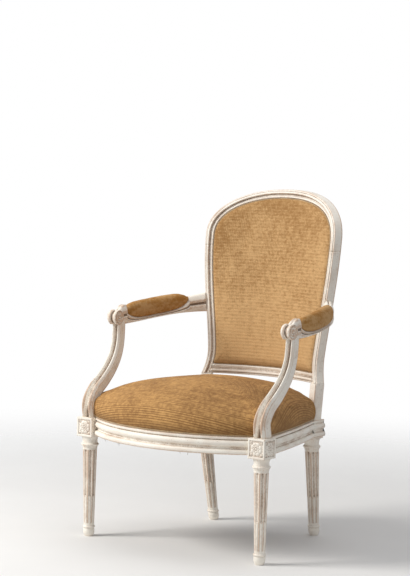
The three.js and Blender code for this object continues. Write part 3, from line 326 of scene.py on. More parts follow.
def grid_piece(name, rings, caps=True, wrap=True):
    """A mesh from rings of points, an array of rings by points by three.

    Neighbours along a ring and between rings make quads, the ends close on their middles, and the map
    gives the distance along the rings' path and round the ring, in metres.
    """
    rings = np.asarray(rings, float)
    rows, count = rings.shape[:2]
    row, here = np.meshgrid(np.arange(rows - 1), np.arange(count if wrap else count - 1), indexing="ij")
    after = (here + 1) % count
    quads = [row * count + here, row * count + after, (row + 1) * count + after, (row + 1) * count + here]
    faces = np.stack(quads, axis=-1).reshape(-1, 4).tolist()
    points = rings.reshape(-1, 3)
    closed = np.concatenate([rings, rings[:, :1]], axis=1) if wrap else rings
    along = np.linalg.norm(np.diff(rings, axis=0), axis=2).mean(axis=1)
    round_ring = np.linalg.norm(np.diff(closed, axis=1), axis=2).mean(axis=0)
    u = np.concatenate([[0.0], np.cumsum(along)])
    v = np.concatenate([[0.0], np.cumsum(round_ring)])
    corners = [(row, here), (row, here + 1), (row + 1, here + 1), (row + 1, here)]
    uv = np.stack([np.stack([u[a], v[b]], axis=-1) for a, b in corners], axis=2).reshape(-1, 2)
    if caps:
        first, last = len(points), len(points) + 1
        points = np.vstack([points, rings[0].mean(axis=0), rings[-1].mean(axis=0)])
        here = np.arange(count)
        after = (here + 1) % count
        base = (rows - 1) * count
        faces += np.stack([after, here, np.full(count, first)], axis=1).tolist()
        faces += np.stack([base + here, base + after, np.full(count, last)], axis=1).tolist()
        uv = np.vstack([uv, np.zeros((6 * count, 2))])
    mesh = bpy.data.meshes.new(name)
    mesh.from_pydata(points.tolist(), [], faces)
    mesh.uv_layers.new(name="UVMap").data.foreach_set("uv", uv.astype(np.float32).ravel())
    facing = 1 if signed_volume(mesh) > 0 else -1
    if facing < 0:
        mesh.flip_normals()
    relief = grid_relief(rings, wrap, facing).ravel()
    store_relief(mesh, np.concatenate([relief, np.full(len(points) - len(relief), 0.5)]))
    mesh.shade_smooth()
    mesh.update()
    return mesh


def grid_relief(rings, wrap, facing, reach=0.0026, depth=0.0006):
    """How sunk each point of a grid lies: the surface smoothed over a reach, less the point, over a depth.

    The value is 0.5 on plain ground, towards 1 in hollows and towards 0 on edges. The first and last rings
    run straight on, so that a piece's ends don't count as edges. Each round of smoothing keeps 0.3 of a point
    and takes 0.3 of both its neighbours in the ring and 0.05 of both between rings.
    """
    def beside(points):
        if wrap:
            return np.roll(points, 1, axis=1), np.roll(points, -1, axis=1)
        first = 2 * points[:, :1] - points[:, 1:2]
        last = 2 * points[:, -1:] - points[:, -2:-1]
        wide = np.concatenate([first, points, last], axis=1)
        return wide[:, :-2], wide[:, 2:]

    def before(points):
        tall = np.concatenate([2 * points[:1] - points[1:2], points, 2 * points[-1:] - points[-2:-1]])
        return tall[:-2], tall[2:]

    left, right = beside(rings)
    spacing = np.linalg.norm(right - left, axis=2).mean() / 2
    smooth = rings
    for _ in range(int(np.clip((reach / spacing) ** 2 / 0.6, 4, 90))):
        smooth = 0.3 * smooth + 0.3 * sum(beside(smooth)) + 0.05 * sum(before(smooth))
    low, high = before(rings)
    normal = unit(np.cross(right - left, high - low) * facing)
    sunk = np.einsum("ijk,ijk->ij", smooth - rings, normal) / depth
    return np.clip(0.5 + 0.5 * sunk, 0, 1)


def store_relief(mesh, values):
    """Keeps a value for each point as the mesh's relief, which its paint reads."""
    mesh.attributes.new("relief", "FLOAT", "POINT").data.foreach_set("value", values.astype(np.float32))


def mesh_points(mesh):
    """Points of a mesh as an array."""
    points = np.empty(len(mesh.vertices) * 3, np.float32)
    mesh.vertices.foreach_get("co", points)
    return points.reshape(-1, 3).astype(float)


def move_points(mesh, points):
    """Puts a mesh's points at new places."""
    mesh.vertices.foreach_set("co", points.astype(np.float32).ravel())
    mesh.update()


def signed_volume(mesh):
    """A sixth of the triple products of all triangles: positive when the faces point out."""
    points = mesh_points(mesh)
    mesh.calc_loop_triangles()
    triangles = np.empty(len(mesh.loop_triangles) * 3, np.int32)
    mesh.loop_triangles.foreach_get("vertices", triangles)
    one, two, three = (points[corner] for corner in triangles.reshape(-1, 3).T)
    return float(np.einsum("ij,ij->i", one, np.cross(two, three)).sum() / 6)


def add_relief(mesh, rounds=16, depth=0.0007):
    """Stores how sunk each point of a welded mesh lies: the average round it, along its normal, over a depth.

    The value is 0.5 on plain ground, towards 1 in hollows and towards 0 on edges.
    """
    points = mesh_points(mesh)
    edges = np.empty(len(mesh.edges) * 2, np.int32)
    mesh.edges.foreach_get("vertices", edges)
    normals = np.empty(len(mesh.vertices) * 3, np.float32)
    mesh.vertex_normals.foreach_get("vector", normals)
    count = np.bincount(edges, minlength=len(points)).astype(float)[:, None]
    one, two = edges.reshape(-1, 2).T
    smooth = points.copy()
    for _ in range(rounds):
        total = np.zeros_like(smooth)
        for axis in range(3):
            total[:, axis] = np.bincount(one, smooth[two, axis], len(points))
            total[:, axis] += np.bincount(two, smooth[one, axis], len(points))
        smooth = (smooth + total / count) / 2
    sunk = np.einsum("ij,ij->i", smooth - points, normals.reshape(-1, 3)) / depth
    store_relief(mesh, np.clip(0.5 + 0.5 * sunk, 0, 1))


def joined_mesh(name, meshes):
    """One mesh from several, keeping maps and attributes."""
    if len(meshes) == 1:
        return meshes[0]
    objects = []
    for mesh in meshes:
        obj = bpy.data.objects.new(name, mesh)
        bpy.context.scene.collection.objects.link(obj)
        objects.append(obj)
    with bpy.context.temp_override(active_object=objects[0], selected_editable_objects=objects):
        bpy.ops.object.join()
    mesh = objects[0].data
    bpy.data.objects.remove(objects[0])
    mesh.name = name
    return mesh


def modified(mesh, kind, **settings):
    """The mesh that one modifier makes of a mesh."""
    obj = bpy.data.objects.new("working", mesh)
    bpy.context.scene.collection.objects.link(obj)
    modifier = obj.modifiers.new("working", kind)
    for key, value in settings.items():
        setattr(modifier, key, value)
    result = bpy.data.meshes.new_from_object(obj.evaluated_get(bpy.context.evaluated_depsgraph_get()))
    bpy.data.objects.remove(obj)
    return result


def stuffed(mesh, body, hold, cap, voxel):
    """Moves a cover's points as its stuffing pushes them out.

    The body is a closed copy of the pad. It is remeshed evenly and blown up as cloth, fixed where hold gives
    more than a half. No point of it moves further than the cap. Its small ripples are eased, it is subdivided
    once, and the cover's free points are drawn to its surface.
    """
    scene = bpy.context.scene
    cloth = modified(body, "REMESH", mode="VOXEL", voxel_size=voxel)
    points = mesh_points(cloth)
    obj = bpy.data.objects.new("stuffing", cloth)
    scene.collection.objects.link(obj)
    held = obj.vertex_groups.new(name="held")
    held.add(np.flatnonzero(hold(points) > 0.5).tolist(), 1.0, "REPLACE")
    settings = obj.modifiers.new("stuffing", "CLOTH").settings
    settings.use_pressure = True
    settings.uniform_pressure_force = STUFFING_PRESSURE
    settings.vertex_group_mass = "held"
    settings.effector_weights.gravity = 0.0
    for step in range(1, STUFFING_FRAMES + 1):
        scene.frame_set(step)
    swollen = bpy.data.meshes.new_from_object(obj.evaluated_get(bpy.context.evaluated_depsgraph_get()))
    bpy.data.objects.remove(obj)
    scene.frame_set(1)
    move = mesh_points(swollen) - points
    far = np.linalg.norm(move, axis=1, keepdims=True)
    move *= np.minimum(1, cap / np.maximum(far, 1e-9))
    move_points(swollen, points + move)
    eased = modified(swollen, "SMOOTH", factor=0.5, iterations=EASING_ROUNDS)
    form = bpy.data.objects.new("stuffing", modified(eased, "SUBSURF", levels=1))
    scene.collection.objects.link(form)
    drawn = modified(mesh, "SHRINKWRAP", target=form, wrap_method="NEAREST_SURFACEPOINT")
    bpy.data.objects.remove(form)
    start = mesh_points(mesh)
    move_points(mesh, start + (mesh_points(drawn) - start) * (1 - hold(start))[:, None])


def place(name, meshes, material, slot, nodes=()):
    """Puts a finished piece into the scene: it rides on the frame and stands for its solids."""
    mesh = joined_mesh(name, meshes)
    obj = bpy.data.objects.new(name, mesh)
    bpy.context.scene.collection.objects.link(obj)
    mesh.materials.clear()
    mesh.materials.append(material)
    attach(obj, "root")
    if nodes:
        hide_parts(*nodes)
    return obj


def place_wood(name, meshes, node):
    """Puts a painted piece of the frame into the scene."""
    place(name, meshes, paint_material(), "cream_paint", [node])


def place_padded(name, mesh, material, slot, node):
    """Puts a stuffed piece into the scene."""
    place(name, [mesh], material, slot, [node])


def mirrored(rings, side):
    """The same points on the right (side 1) or mirrored to the left (side -1)."""
    return np.asarray(rings) * np.array([side, 1.0, 1.0])


SIDES = (("right", 1), ("left", -1))


def moulding(start, steps, density=2600):
    """An outline of bowed pieces. Each step gives its end and how far its middle bows to its right.

    The density is the number of points for each unit of length.
    """
    here = np.array(start, float)
    points = [here[None]]
    for x, z, bow in steps:
        end = np.array([x, z], float)
        chord = end - here
        reach = np.linalg.norm(chord)
        count = max(3, int((reach + 2 * abs(bow)) * density))
        share = np.linspace(0, 1, count + 1)[1:, None]
        normal = np.array([chord[1], -chord[0]]) / max(reach, 1e-9)
        points.append(here + chord * share + normal * bow * 4 * share * (1 - share))
        here = end
    return np.vstack(points)


@contextmanager
def opened(mesh):
    """A mesh opened for cutting and welding. It is written back at the end."""
    work = bmesh.new()
    work.from_mesh(mesh)
    yield work
    work.to_mesh(mesh)
    work.free()
    mesh.update()


def trimmed(mesh, point, normal):
    """The mesh cut off beyond a plane, with the cut face closed."""
    with opened(mesh) as work:
        geometry = work.verts[:] + work.edges[:] + work.faces[:]
        cut = bmesh.ops.bisect_plane(work, geom=geometry, plane_co=point, plane_no=normal, clear_outer=True)
        edges = [part for part in cut["geom_cut"] if isinstance(part, bmesh.types.BMEdge)]
        bmesh.ops.contextual_create(work, geom=edges)
    return mesh


def arc_line(half_chord, bow, count, reach):
    """An arc of given half chord and bow: x, drop from its top, and angle, for count points."""
    radius = (half_chord**2 + bow**2) / (2 * bow)
    limit = math.asin(min(1.0, (half_chord + reach) / radius))
    angle = np.linspace(-limit, limit, count)
    return radius * np.sin(angle), bow - radius * (1 - np.cos(angle)), angle


# Wood: rails

def rail_outline():
    """Section of a moulded rail: out from its face and up. Two beads, a hollow and a top strip.

    It is drawn for a moulding 6 mm deep.
    """
    seat = sizes("seat")
    deep = seat.moulding / 0.006
    front = moulding((-0.0016 * deep, 0.0), [
        (-0.0016 * deep, 0.0112, 0.0024), (-0.0062 * deep, 0.0122, 0), (-0.0048 * deep, 0.0196, -0.0020),
        (-0.0030 * deep, 0.0206, 0), (-0.0030 * deep, 0.0330, 0.0027), (-0.0064 * deep, 0.0342, 0),
        (-0.0058 * deep, 0.0364, -0.0004), (-0.0046 * deep, 0.0370, 0),
        (-0.0046 * deep, seat.rail_height, 0.0008),
    ])
    rear = [(-seat.rail_thickness, seat.rail_height, 0), (-seat.rail_thickness, 0.0, 0)]
    return front, moulding(front[-1], rear, density=600)[1:]


def rail_rings(outer, outward, inner):
    """Rings of a rail. Its moulding leans along the outward direction, its back lies on the inner line."""
    seat = sizes("seat")
    front, back = rail_outline()
    low = seat.rail_top - seat.rail_height
    face = outer[:, None, :] + outward[:, None, :] * front[None, :, :1]
    share = (back[:, 0] - front[-1, 0]) / (-seat.rail_thickness - front[-1, 0])
    top = outer + outward * front[-1, 0]
    rear = top[:, None, :] * (1 - share)[None, :, None] + inner[:, None, :] * share[None, :, None]
    rings = np.zeros((len(outer), len(front) + len(back), 3))
    rings[:, :, :2] = np.concatenate([face, rear], axis=1)
    rings[:, :, 2] = low + np.concatenate([front[:, 1], back[:, 1]])
    return rings


def front_rail_line(count, inset=0.0, reach=0.02):
    """Outer line of the front rail in plan, with its outward directions."""
    seat = sizes("seat")
    legs = sizes("legs")
    x, drop, angle = arc_line(seat.leg_spacing / 2 - legs.block / 2, seat.front_bow, count, reach)
    y = LEG_Y - legs.block / 2 + seat.setback - drop + inset
    return np.stack([x, y], 1), np.stack([np.sin(angle), -np.cos(angle)], 1)


def side_rail_line(share):
    """Outer line of the right side rail: straight from block to block, bowed out in its middle."""
    seat = sizes("seat")
    legs = sizes("legs")
    start = np.array([seat.leg_spacing / 2 + legs.block / 2 - seat.setback, LEG_Y + legs.block / 2])
    end = np.array([seat.rear_spacing / 2 + legs.rear_block / 2, LEG_Y + seat.depth - legs.rear_block / 2])
    t = np.asarray(share, float)[:, None]
    line = start * (1 - t) + end * t
    line[:, 0] += seat.side_bow * 4 * t[:, 0] * (1 - t[:, 0])
    return line


def rear_rail_line(count, inset=0.0, reach=0.02):
    """Outer line of the rear rail, bowed back like the frame above it."""
    seat = sizes("seat")
    legs = sizes("legs")
    x, drop, angle = arc_line(seat.rear_spacing / 2 - legs.rear_block / 2, seat.rear_bow, count, reach)
    y = LEG_Y + seat.depth + legs.rear_block / 2 - seat.rear_setback + drop - inset
    return np.stack([x, y], 1), np.stack([np.sin(angle), np.cos(angle)], 1)


def block_bottom():
    """Height of the lower end of the legs' blocks."""
    return sizes("seat").rail_top - sizes("seat").rail_height - sizes("legs").block_drop


def make_front_rail():
    """The front rail: its section along an arc, cut off at the blocks."""
    seat, legs = sizes("seat"), sizes("legs")
    outer, outward = front_rail_line(180)
    mesh = grid_piece("front_rail", rail_rings(outer, outward, outer + [0, seat.rail_thickness]))
    limit = seat.leg_spacing / 2 - legs.block / 2 - SEAM
    for side in (1, -1):
        mesh = trimmed(mesh, (side * limit, 0, 0), (side, 0, 0))
    place_wood("front_rail", [mesh], "front_seat_rail")


def make_side_rails():
    """The side rails: the same section along their bowed lines, cut off at both blocks."""
    seat, legs = sizes("seat"), sizes("legs")
    outer = side_rail_line(np.linspace(-0.06, 1.06, 110))
    along = directions(outer)
    outward = np.stack([along[:, 1], -along[:, 0]], 1)
    rings = rail_rings(outer, outward, outer - [seat.rail_thickness, 0])
    front = LEG_Y + legs.block / 2 + SEAM
    rear = LEG_Y + seat.depth - legs.rear_block / 2 - SEAM
    for name, side in SIDES:
        mesh = grid_piece(name + "_rail", mirrored(rings, side))
        mesh = trimmed(mesh, (0, front, 0), (0, -1, 0))
        mesh = trimmed(mesh, (0, rear, 0), (0, 1, 0))
        place_wood(name + "_side_rail", [mesh], name + "_seat_rail")


def make_rear_rail():
    """The rear rail: a plain section with eased edges along an arc, cut off at the blocks."""
    seat, legs = sizes("seat"), sizes("legs")
    outer, _ = rear_rail_line(100)
    low = seat.rail_top - seat.rail_height
    thick, high = seat.rail_thickness, seat.rail_height
    outline = rounded_profile([(0, 0), (0, high), (-thick, high), (-thick, 0)], EASED_EDGE, 160)
    rings = np.zeros((len(outer), len(outline), 3))
    inner = -outline[:, 0] / thick
    rings[:, :, :2] = outer[:, None, :] - inner[None, :, None] * np.array([0, thick])
    rings[:, :, 2] = low + outline[:, 1]
    mesh = grid_piece("rear_rail", rings)
    limit = seat.rear_spacing / 2 - legs.rear_block / 2 - SEAM
    for side in (1, -1):
        mesh = trimmed(mesh, (side * limit, 0, 0), (side, 0, 0))
    place_wood("rear_rail", [mesh], "rear_seat_rail")


# Wood: legs

def turned_radius():
    """Radius and height of the turned leg, finely stepped, from the floor to the block."""
    legs = sizes("legs")
    bottom = block_bottom()
    ankle = legs.foot_height + legs.ankle_height
    ring_low = bottom - legs.neck_length - legs.collar_height / 2
    ring_high = bottom - legs.neck_length + legs.collar_height / 2
    line = moulding((legs.foot_flat - 0.001, 0.0), [
        (legs.foot_flat, 0.0008, 0.0002), (legs.foot, legs.foot_height * 0.62, 0.0012),
        (legs.foot * 0.90, legs.foot_height * 0.96, 0.0006), (legs.ankle - 0.0006, legs.foot_height, 0),
        (legs.ankle - 0.0006, ankle, 0.0011), (legs.shaft_foot, ankle + 0.0012, -0.0003),
        (legs.shaft_top, ring_low - 0.0042, 0), (legs.shaft_top + 0.0012, ring_low - 0.0030, 0),
        (legs.shaft_top + 0.0012, ring_low - 0.0008, 0.0002), (legs.collar - 0.0018, ring_low, 0),
        (legs.collar - 0.0018, ring_high, 0.0020), (legs.neck - 0.0006, ring_high + 0.0010, 0),
        (legs.neck + 0.0004, bottom - 0.0040, -0.0008), (legs.neck + 0.0022, bottom + SEAM, 0.0004),
    ], density=1300)
    return line[:, 0], line[:, 1]


def flute_hollow(arc, height, radius):
    """Depth of the flutes at points given by their arc from a flute's middle, height and radius.

    A flute is a round-bottomed slot with round ends: its depth times the root of 1 less the square of the
    distance from its middle line over its half width. Below the cable height a rod fills it almost flush.
    """
    legs = sizes("legs")
    top = block_bottom() - legs.neck_length - legs.collar_height - 0.0065
    low = legs.foot_height + legs.ankle_height * 1.9
    width = radius * 0.285
    beyond = np.maximum(0, np.maximum(height - (top - width), (low + width) - height))
    away = np.sqrt(arc**2 + beyond**2) / width
    hollow = legs.flute_depth * np.sqrt(np.clip(1 - away**2, 0, 1))
    rod_width = 0.80 * width
    past = np.maximum(0, height - (legs.cable_top - rod_width))
    rod_away = np.sqrt(arc**2 + past**2) / rod_width
    rod = (legs.flute_depth * 0.95) * np.sqrt(np.clip(1 - rod_away**2, 0, 1))
    return np.maximum(0.0, hollow - np.where(height < legs.cable_top, rod, 0))


def turned_leg(foot, top):
    """The turned part: radius by height times the circle, less the flutes, on a line from foot to top."""
    radius, height = turned_radius()
    angle = np.linspace(0, TAU, 160, endpoint=False)
    pitch = TAU / FLUTES
    offset = (angle + pitch / 2) % pitch - pitch / 2
    wide = radius[:, None] * np.ones(len(angle))
    z = height[:, None] * np.ones(len(angle))
    wide = wide - flute_hollow(wide * offset, z, radius[:, None])
    share = (height / height[-1])[:, None]
    x = foot[0] + (top[0] - foot[0]) * share + wide * np.cos(angle)
    y = foot[1] + (top[1] - foot[1]) * share + wide * np.sin(angle)
    return np.stack([x, y, z], axis=-1)


def flower(u, v, radius):
    """Height of a carved flower over a square: an eye, eight inner and eight outer petals, corner leaves.

    A ring of petals is half a sine wave from its inner to its outer edge, which reaches further and stands
    higher where the petals' own wave round the middle does.
    """
    away = np.hypot(u, v) / radius
    turn = np.arctan2(v, u)
    petal, between = np.abs(np.cos(4 * turn)), np.abs(np.sin(4 * turn))
    eye = 0.0030 * np.sqrt(np.clip(1 - (away / 0.22) ** 2, 0, 1))
    inner = 0.0026 * np.sin(np.pi * np.clip((away - 0.18) / (0.36 + 0.08 * petal), 0, 1)) ** 0.7
    inner = inner * (0.45 + 0.55 * petal**0.6)
    outer = 0.0024 * np.sin(np.pi * np.clip((away - 0.42) / (0.50 + 0.08 * between), 0, 1)) ** 0.7
    outer = outer * (0.35 + 0.65 * between**0.6)
    corner = np.minimum(np.abs(u), np.abs(v)) / radius
    edge = np.maximum(np.abs(u), np.abs(v)) / radius
    leaf = 0.0020 * smoothstep(0.68, 0.84, corner) * smoothstep(1.10, 1.00, edge)
    return np.maximum.reduce([eye, inner, outer, leaf])


def block_mesh(name, centre, half, carved=()):
    """A block with eased edges. On its carved sides a square is sunk and holds a flower.

    Every side is a grid of points on the box, drawn onto a rounded corner, then raised along its normal.
    """
    legs = sizes("legs")
    count, ease, sink, bevel = 64, 0.0011, 0.0016, 0.0014
    line = np.linspace(-1, 1, count)
    across, up = np.meshgrid(line, line, indexing="ij")
    row, here = np.meshgrid(np.arange(count - 1), np.arange(count - 1), indexing="ij")
    corner = row * count + here
    quads = np.stack([corner, corner + count, corner + count + 1, corner + 1], -1)
    points, faces = [], []
    half = np.asarray(half, float)
    for axis in range(3):
        one, two = [other for other in range(3) if other != axis]
        for sign in (-1, 1):
            box = np.zeros((count, count, 3))
            box[..., one] = across * half[one]
            box[..., two] = up * half[two]
            box[..., axis] = sign * half[axis]
            core = np.clip(box, -(half - ease), half - ease)
            side = core + ease * unit(box - core)
            if (axis, sign) in carved:
                u, v = across * half[one], up * half[two]
                edge = np.maximum(np.abs(u), np.abs(v))
                sunk = -sink * smoothstep(legs.panel / 2, legs.panel / 2 - bevel, edge)
                raised = flower(u, v, legs.rosette) * (edge < legs.panel / 2 - 0.001)
                side[..., axis] += sign * (sunk + raised)
            order = quads if (sign > 0) == (axis != 1) else quads[..., ::-1]
            faces.append(order.reshape(-1, 4) + len(points) * count * count)
            points.append(side.reshape(-1, 3))
    mesh = bpy.data.meshes.new(name)
    mesh.from_pydata((np.vstack(points) + centre).tolist(), [], np.vstack(faces).tolist())
    mesh.uv_layers.new(name="UVMap")
    with opened(mesh) as work:
        bmesh.ops.remove_doubles(work, verts=work.verts[:], dist=1e-6)
    mesh.shade_smooth()
    add_relief(mesh)
    return mesh


def make_front_legs():
    """The front legs: turned from the floor up, with a carved block on top."""
    seat, legs = sizes("seat"), sizes("legs")
    low = block_bottom()
    half = (legs.block / 2, legs.block / 2, (seat.rail_top - low) / 2)
    for name, side in SIDES:
        x = side * seat.leg_spacing / 2
        turned = grid_piece(name + "_leg", turned_leg((x, LEG_Y), (x, LEG_Y)))
        centre = np.array([x, LEG_Y, (seat.rail_top + low) / 2])
        block = block_mesh(name + "_block", centre, half, carved=((1, -1), (0, side)))
        place_wood(name + "_front_leg_painted", [turned, block], name + "_front_leg")


def make_rear_legs():
    """The rear legs: raked, with a plain block, the rail's moulding carried round it and an upright above."""
    seat, legs, back = sizes("seat"), sizes("legs"), sizes("back")
    low, inset, lower = block_bottom(), seat.moulding / 2, 0.0004
    high = seat.rail_top - lower
    half = (legs.rear_block / 2 - inset, legs.rear_block / 2, (high - low) / 2)
    corners = [(0, back.thickness), (0, 0), (back.stile, 0), (back.stile, back.thickness)]
    section = rounded_profile(corners, EASED_EDGE, 96)
    heights = np.linspace(seat.rail_top - 0.004, back.foot - SEAM / 2, 40)
    rise = np.stack([frame_ring(section, back.foot_half, z, (-1, 0)) for z in heights])
    y = LEG_Y + seat.depth + np.linspace(-1, 1, 12) * (legs.rear_block / 2 - lower)
    for name, side in SIDES:
        top = np.array([side * seat.rear_spacing / 2, LEG_Y + seat.depth])
        turned = grid_piece(name + "_leg", turned_leg(top + [-side * legs.rear_inset, legs.rear_rake], top))
        centre = np.array([top[0] - side * inset, top[1], (high + low) / 2])
        block = block_mesh(name + "_block", centre, half)
        face = side * (seat.rear_spacing / 2 + legs.rear_block / 2)
        outer = np.stack([np.full(len(y), face), y], 1)
        outward = np.tile([side, 0.0], (len(y), 1))
        wrap = grid_piece(name + "_wrap", rail_rings(outer, outward, outer - [side * seat.rail_thickness, 0]))
        upright = grid_piece(name + "_upright", mirrored(rise, side))
        place_wood(name + "_rear_leg_painted", [turned, block, wrap, upright], name + "_rear_leg")


# Wood: back frame

def back_point(x, z, depth):
    """The back's surface: a raked parabola in plan, or a point at a depth behind it along its plan normal."""
    back = sizes("back")
    x, z, depth = np.broadcast_arrays(*(np.asarray(values, float) for values in (x, z, depth)))
    slope = -2 * back.hollow * x / back.widest**2
    turn = np.arctan(slope)
    y = LEG_Y + back.foot_y + (z - back.foot) * back.rake - back.hollow * (x / back.widest) ** 2
    return np.stack([x - np.sin(turn) * depth, y + np.cos(turn) * depth, z], axis=-1)


def back_half(z):
    """Half width of the frame by height: flared at the foot, a waist, then a rise to the shoulders."""
    back = sizes("back")
    z = np.asarray(z, float)
    down = np.clip((back.waist_height - z) / (back.waist_height - back.foot), 0, None)
    up = np.clip((z - back.waist_height) / (back.widest_height - back.waist_height), 0, 1)
    above = back.waist + (back.widest - back.waist) * np.sin(np.pi / 2 * up**1.25)
    return np.where(z < back.waist_height, back.waist + (back.foot_half - back.waist) * down**2, above)


def frame_profile(width):
    """Section of the back frame of a width, in metres in from its outer edge and behind its front.

    The moulding takes the face: a flat outer edge, a hollow, a raised bead, a quirk and an inner fillet. It
    is drawn 18 mm wide. A rebate for the stuffed back is cut inside it.
    """
    back = sizes("back")
    wide = (width - back.rebate) / 0.018
    line = moulding((0.0, back.thickness - 0.0015), [
        (0.0, 0.0046, 0), (0.0012, 0.0034, 0.0002), (0.0034, 0.0030, 0), (0.0040, 0.0014, 0),
        (0.0082, 0.0004, 0.0011), (0.0090, 0.0036, 0), (0.0128, 0.0026, -0.0012), (0.0136, 0.0034, 0),
        (0.0140, 0.0026, 0), (0.0172, 0.0028, 0.0010), (0.0180, 0.0044, 0.0001),
        (0.0180, back.rebate_depth, 0),
    ], density=1800) * [wide, 1]
    rebate = [(back.rebate, back.rebate_depth, 0), (back.rebate, back.thickness, 0)]
    inner = moulding((0, back.rebate_depth), rebate, density=500)
    behind = np.stack([np.linspace(width, 0.0015, 14), np.full(14, back.thickness)], 1)
    return np.vstack([line, inner[1:] + [width - back.rebate, 0], behind[1:]])


def frame_ring(section, x, z, inward):
    """A ring of the frame: its section laid from an edge point inward over the hollow surface."""
    reach = section[:, 0]
    return back_point(x + inward[0] * reach, z + inward[1] * reach, section[:, 1])


def arch_line(count):
    """Outer edge of the arch from the right shoulder to the left: a superellipse, with inward directions."""
    back = sizes("back")
    angle = np.linspace(0, np.pi, count)
    power = 2 / 2.2
    x = back.widest * np.sign(np.cos(angle)) * np.abs(np.cos(angle)) ** power
    z = back.widest_height + (back.height - back.widest_height) * np.sin(angle) ** power
    line = resample(np.stack([x, z], 1), count)
    along = directions(line)
    return line, np.stack([-along[:, 1], along[:, 0]], 1)


def crest_stations():
    """Edge points, inward directions and face widths of the whole crest rail."""
    back = sizes("back")
    line, inward = arch_line(150)
    z = np.linspace(back.joint_height, back.widest_height, 9)[:-1]
    side = np.stack([back_half(z), z], 1)
    level = np.tile([-1.0, 0.0], (len(z), 1))
    flip = [-1, 1]
    edge = np.vstack([side, line, side[::-1] * flip])
    inward = np.vstack([level, inward, level[::-1] * flip])
    share = np.clip(1.5 * (1 - np.abs(np.linspace(-1, 1, len(line)))), 0, 1)
    ends = np.full(len(z), back.stile)
    width = np.concatenate([ends, back.stile + (back.crest - back.stile) * share, ends])
    return edge, inward, width


def make_crest_rail():
    """The arched crest rail: the frame's section carried round the arch, wider at its top."""
    stations = zip(*crest_stations())
    rings = np.stack([frame_ring(frame_profile(width), *edge, inward) for edge, inward, width in stations])
    place_wood("crest_rail", [grid_piece("crest", rings)], "back_crest_rail")


def make_stiles():
    """The stiles: the frame's section carried up the back's sides."""
    back = sizes("back")
    section = frame_profile(back.stile)
    heights = np.linspace(back.foot + SEAM / 2, back.joint_height, 130)
    rings = np.stack([frame_ring(section, back_half(z), z, (-1, 0)) for z in heights])
    for name, side in SIDES:
        mesh = grid_piece(name + "_stile", mirrored(rings, side))
        place_wood(name + "_stile", [mesh], name + "_back_stile")


def make_bottom_rail():
    """The bottom rail: its section upright between the stiles, its ends butting against their mouldings."""
    back = sizes("back")
    section = frame_profile(back.bottom)
    z = back.foot + SEAM / 2 + section[:, 0]
    stile = np.where(section[:, 1] < back.rebate_depth, back.stile - back.rebate, back.stile)
    ends = back_half(z) - stile - SEAM
    rings = np.stack([back_point(share * ends, z, section[:, 1]) for share in np.linspace(-1, 1, 90)])
    place_wood("bottom_rail", [grid_piece("bottom", rings)], "back_bottom_rail")


# Wood: supports and arms

def support_profile():
    """Section of an arm support, as shares of its half side: two beads with a groove between them."""
    return moulding((-1.0, -0.90), [
        (-1.0, 0.50, 0.03), (-0.92, 0.62, 0), (-0.30, 0.62, -0.36), (-0.22, 0.50, 0), (0.22, 0.50, 0.16),
        (0.30, 0.62, 0), (0.92, 0.62, -0.36), (1.0, 0.50, 0), (1.0, -0.90, 0.03), (0.90, -1.0, 0),
        (-0.90, -1.0, 0),
    ], density=36)


def arm_end():
    """Height of the middle of the arm where it meets the stile."""
    arms = sizes("arms")
    return arms.scroll_z - arms.scroll + arms.rise + arms.at_stile / 2


def arm_line():
    """Centre line of the right arm in plan, its directions and its length so far: it bends in behind."""
    arms, back = sizes("arms"), sizes("back")
    first = np.array([arms.scroll_x, LEG_Y + arms.scroll_y])
    last = back_point(back_half(arm_end()), arm_end(), back.thickness / 2)[:2]
    bend = np.array([arms.scroll_x + arms.bend_out, first[1] + 0.67 * (last[1] - first[1])])
    share = np.linspace(0, 1, 300)[:, None]
    line = first * (1 - share) ** 2 + bend * 2 * share * (1 - share) + last * share**2
    along = 2 * (bend - first) * (1 - share) + 2 * (last - bend) * share
    return line, unit(along), travelled(line)


def arm_span():
    """Run of the arm, and where its pad starts and ends along it."""
    arms, run = sizes("arms"), arm_line()[2][-1]
    return run, arms.pad_start, run - arms.pad_gap


def arm_point(along, across, z):
    """A point by distance along the right arm, distance towards the inside, and height."""
    line, ahead, reach = arm_line()
    along, across, z = np.broadcast_arrays(*(np.asarray(values, float) for values in (along, across, z)))
    held = np.clip(along, 0, reach[-1])
    x, y, ahead_x, ahead_y = (np.interp(held, reach, values) for values in (*line.T, *ahead.T))
    past = along - held
    x, y = x + ahead_x * past - ahead_y * across, y + ahead_y * past + ahead_x * across
    return np.stack([x, y, z], axis=-1)


def arm_underside(along):
    """The arm's underside rises smoothly from the scroll to the back."""
    arms = sizes("arms")
    return arms.scroll_z - arms.scroll + arms.rise * smoothstep(0, arm_span()[0], along)


def cradle(end):
    """Wood under the pad by place along it, -1 to 1: low in the middle, rising steeply to both ends."""
    arms = sizes("arms")
    return arms.waist + arms.cradle * (1 - np.sqrt(np.clip(1 - np.abs(end) ** 3.4, 0, None)))


def arm_height(along):
    """Height of the wood: it swells from the scroll, dips in a cradle under the pad, flares at the stile."""
    arms = sizes("arms")
    run, start, stop = arm_span()
    tip = 1.6 * arms.scroll
    neck = tip + (arms.neck - tip) * smoothstep(-0.008, 0.80 * start, along)
    flare = np.clip((along - stop) / (run - stop), 0, None) ** 1.5
    rear = arms.rear + (arms.at_stile - arms.rear) * flare
    whole = neck + (rear - neck) * smoothstep(start, stop, along)
    end = (along - (start + stop) / 2) / ((stop - start) / 2)
    return np.where(np.abs(end) < 1, np.minimum(whole, cradle(end)), whole)


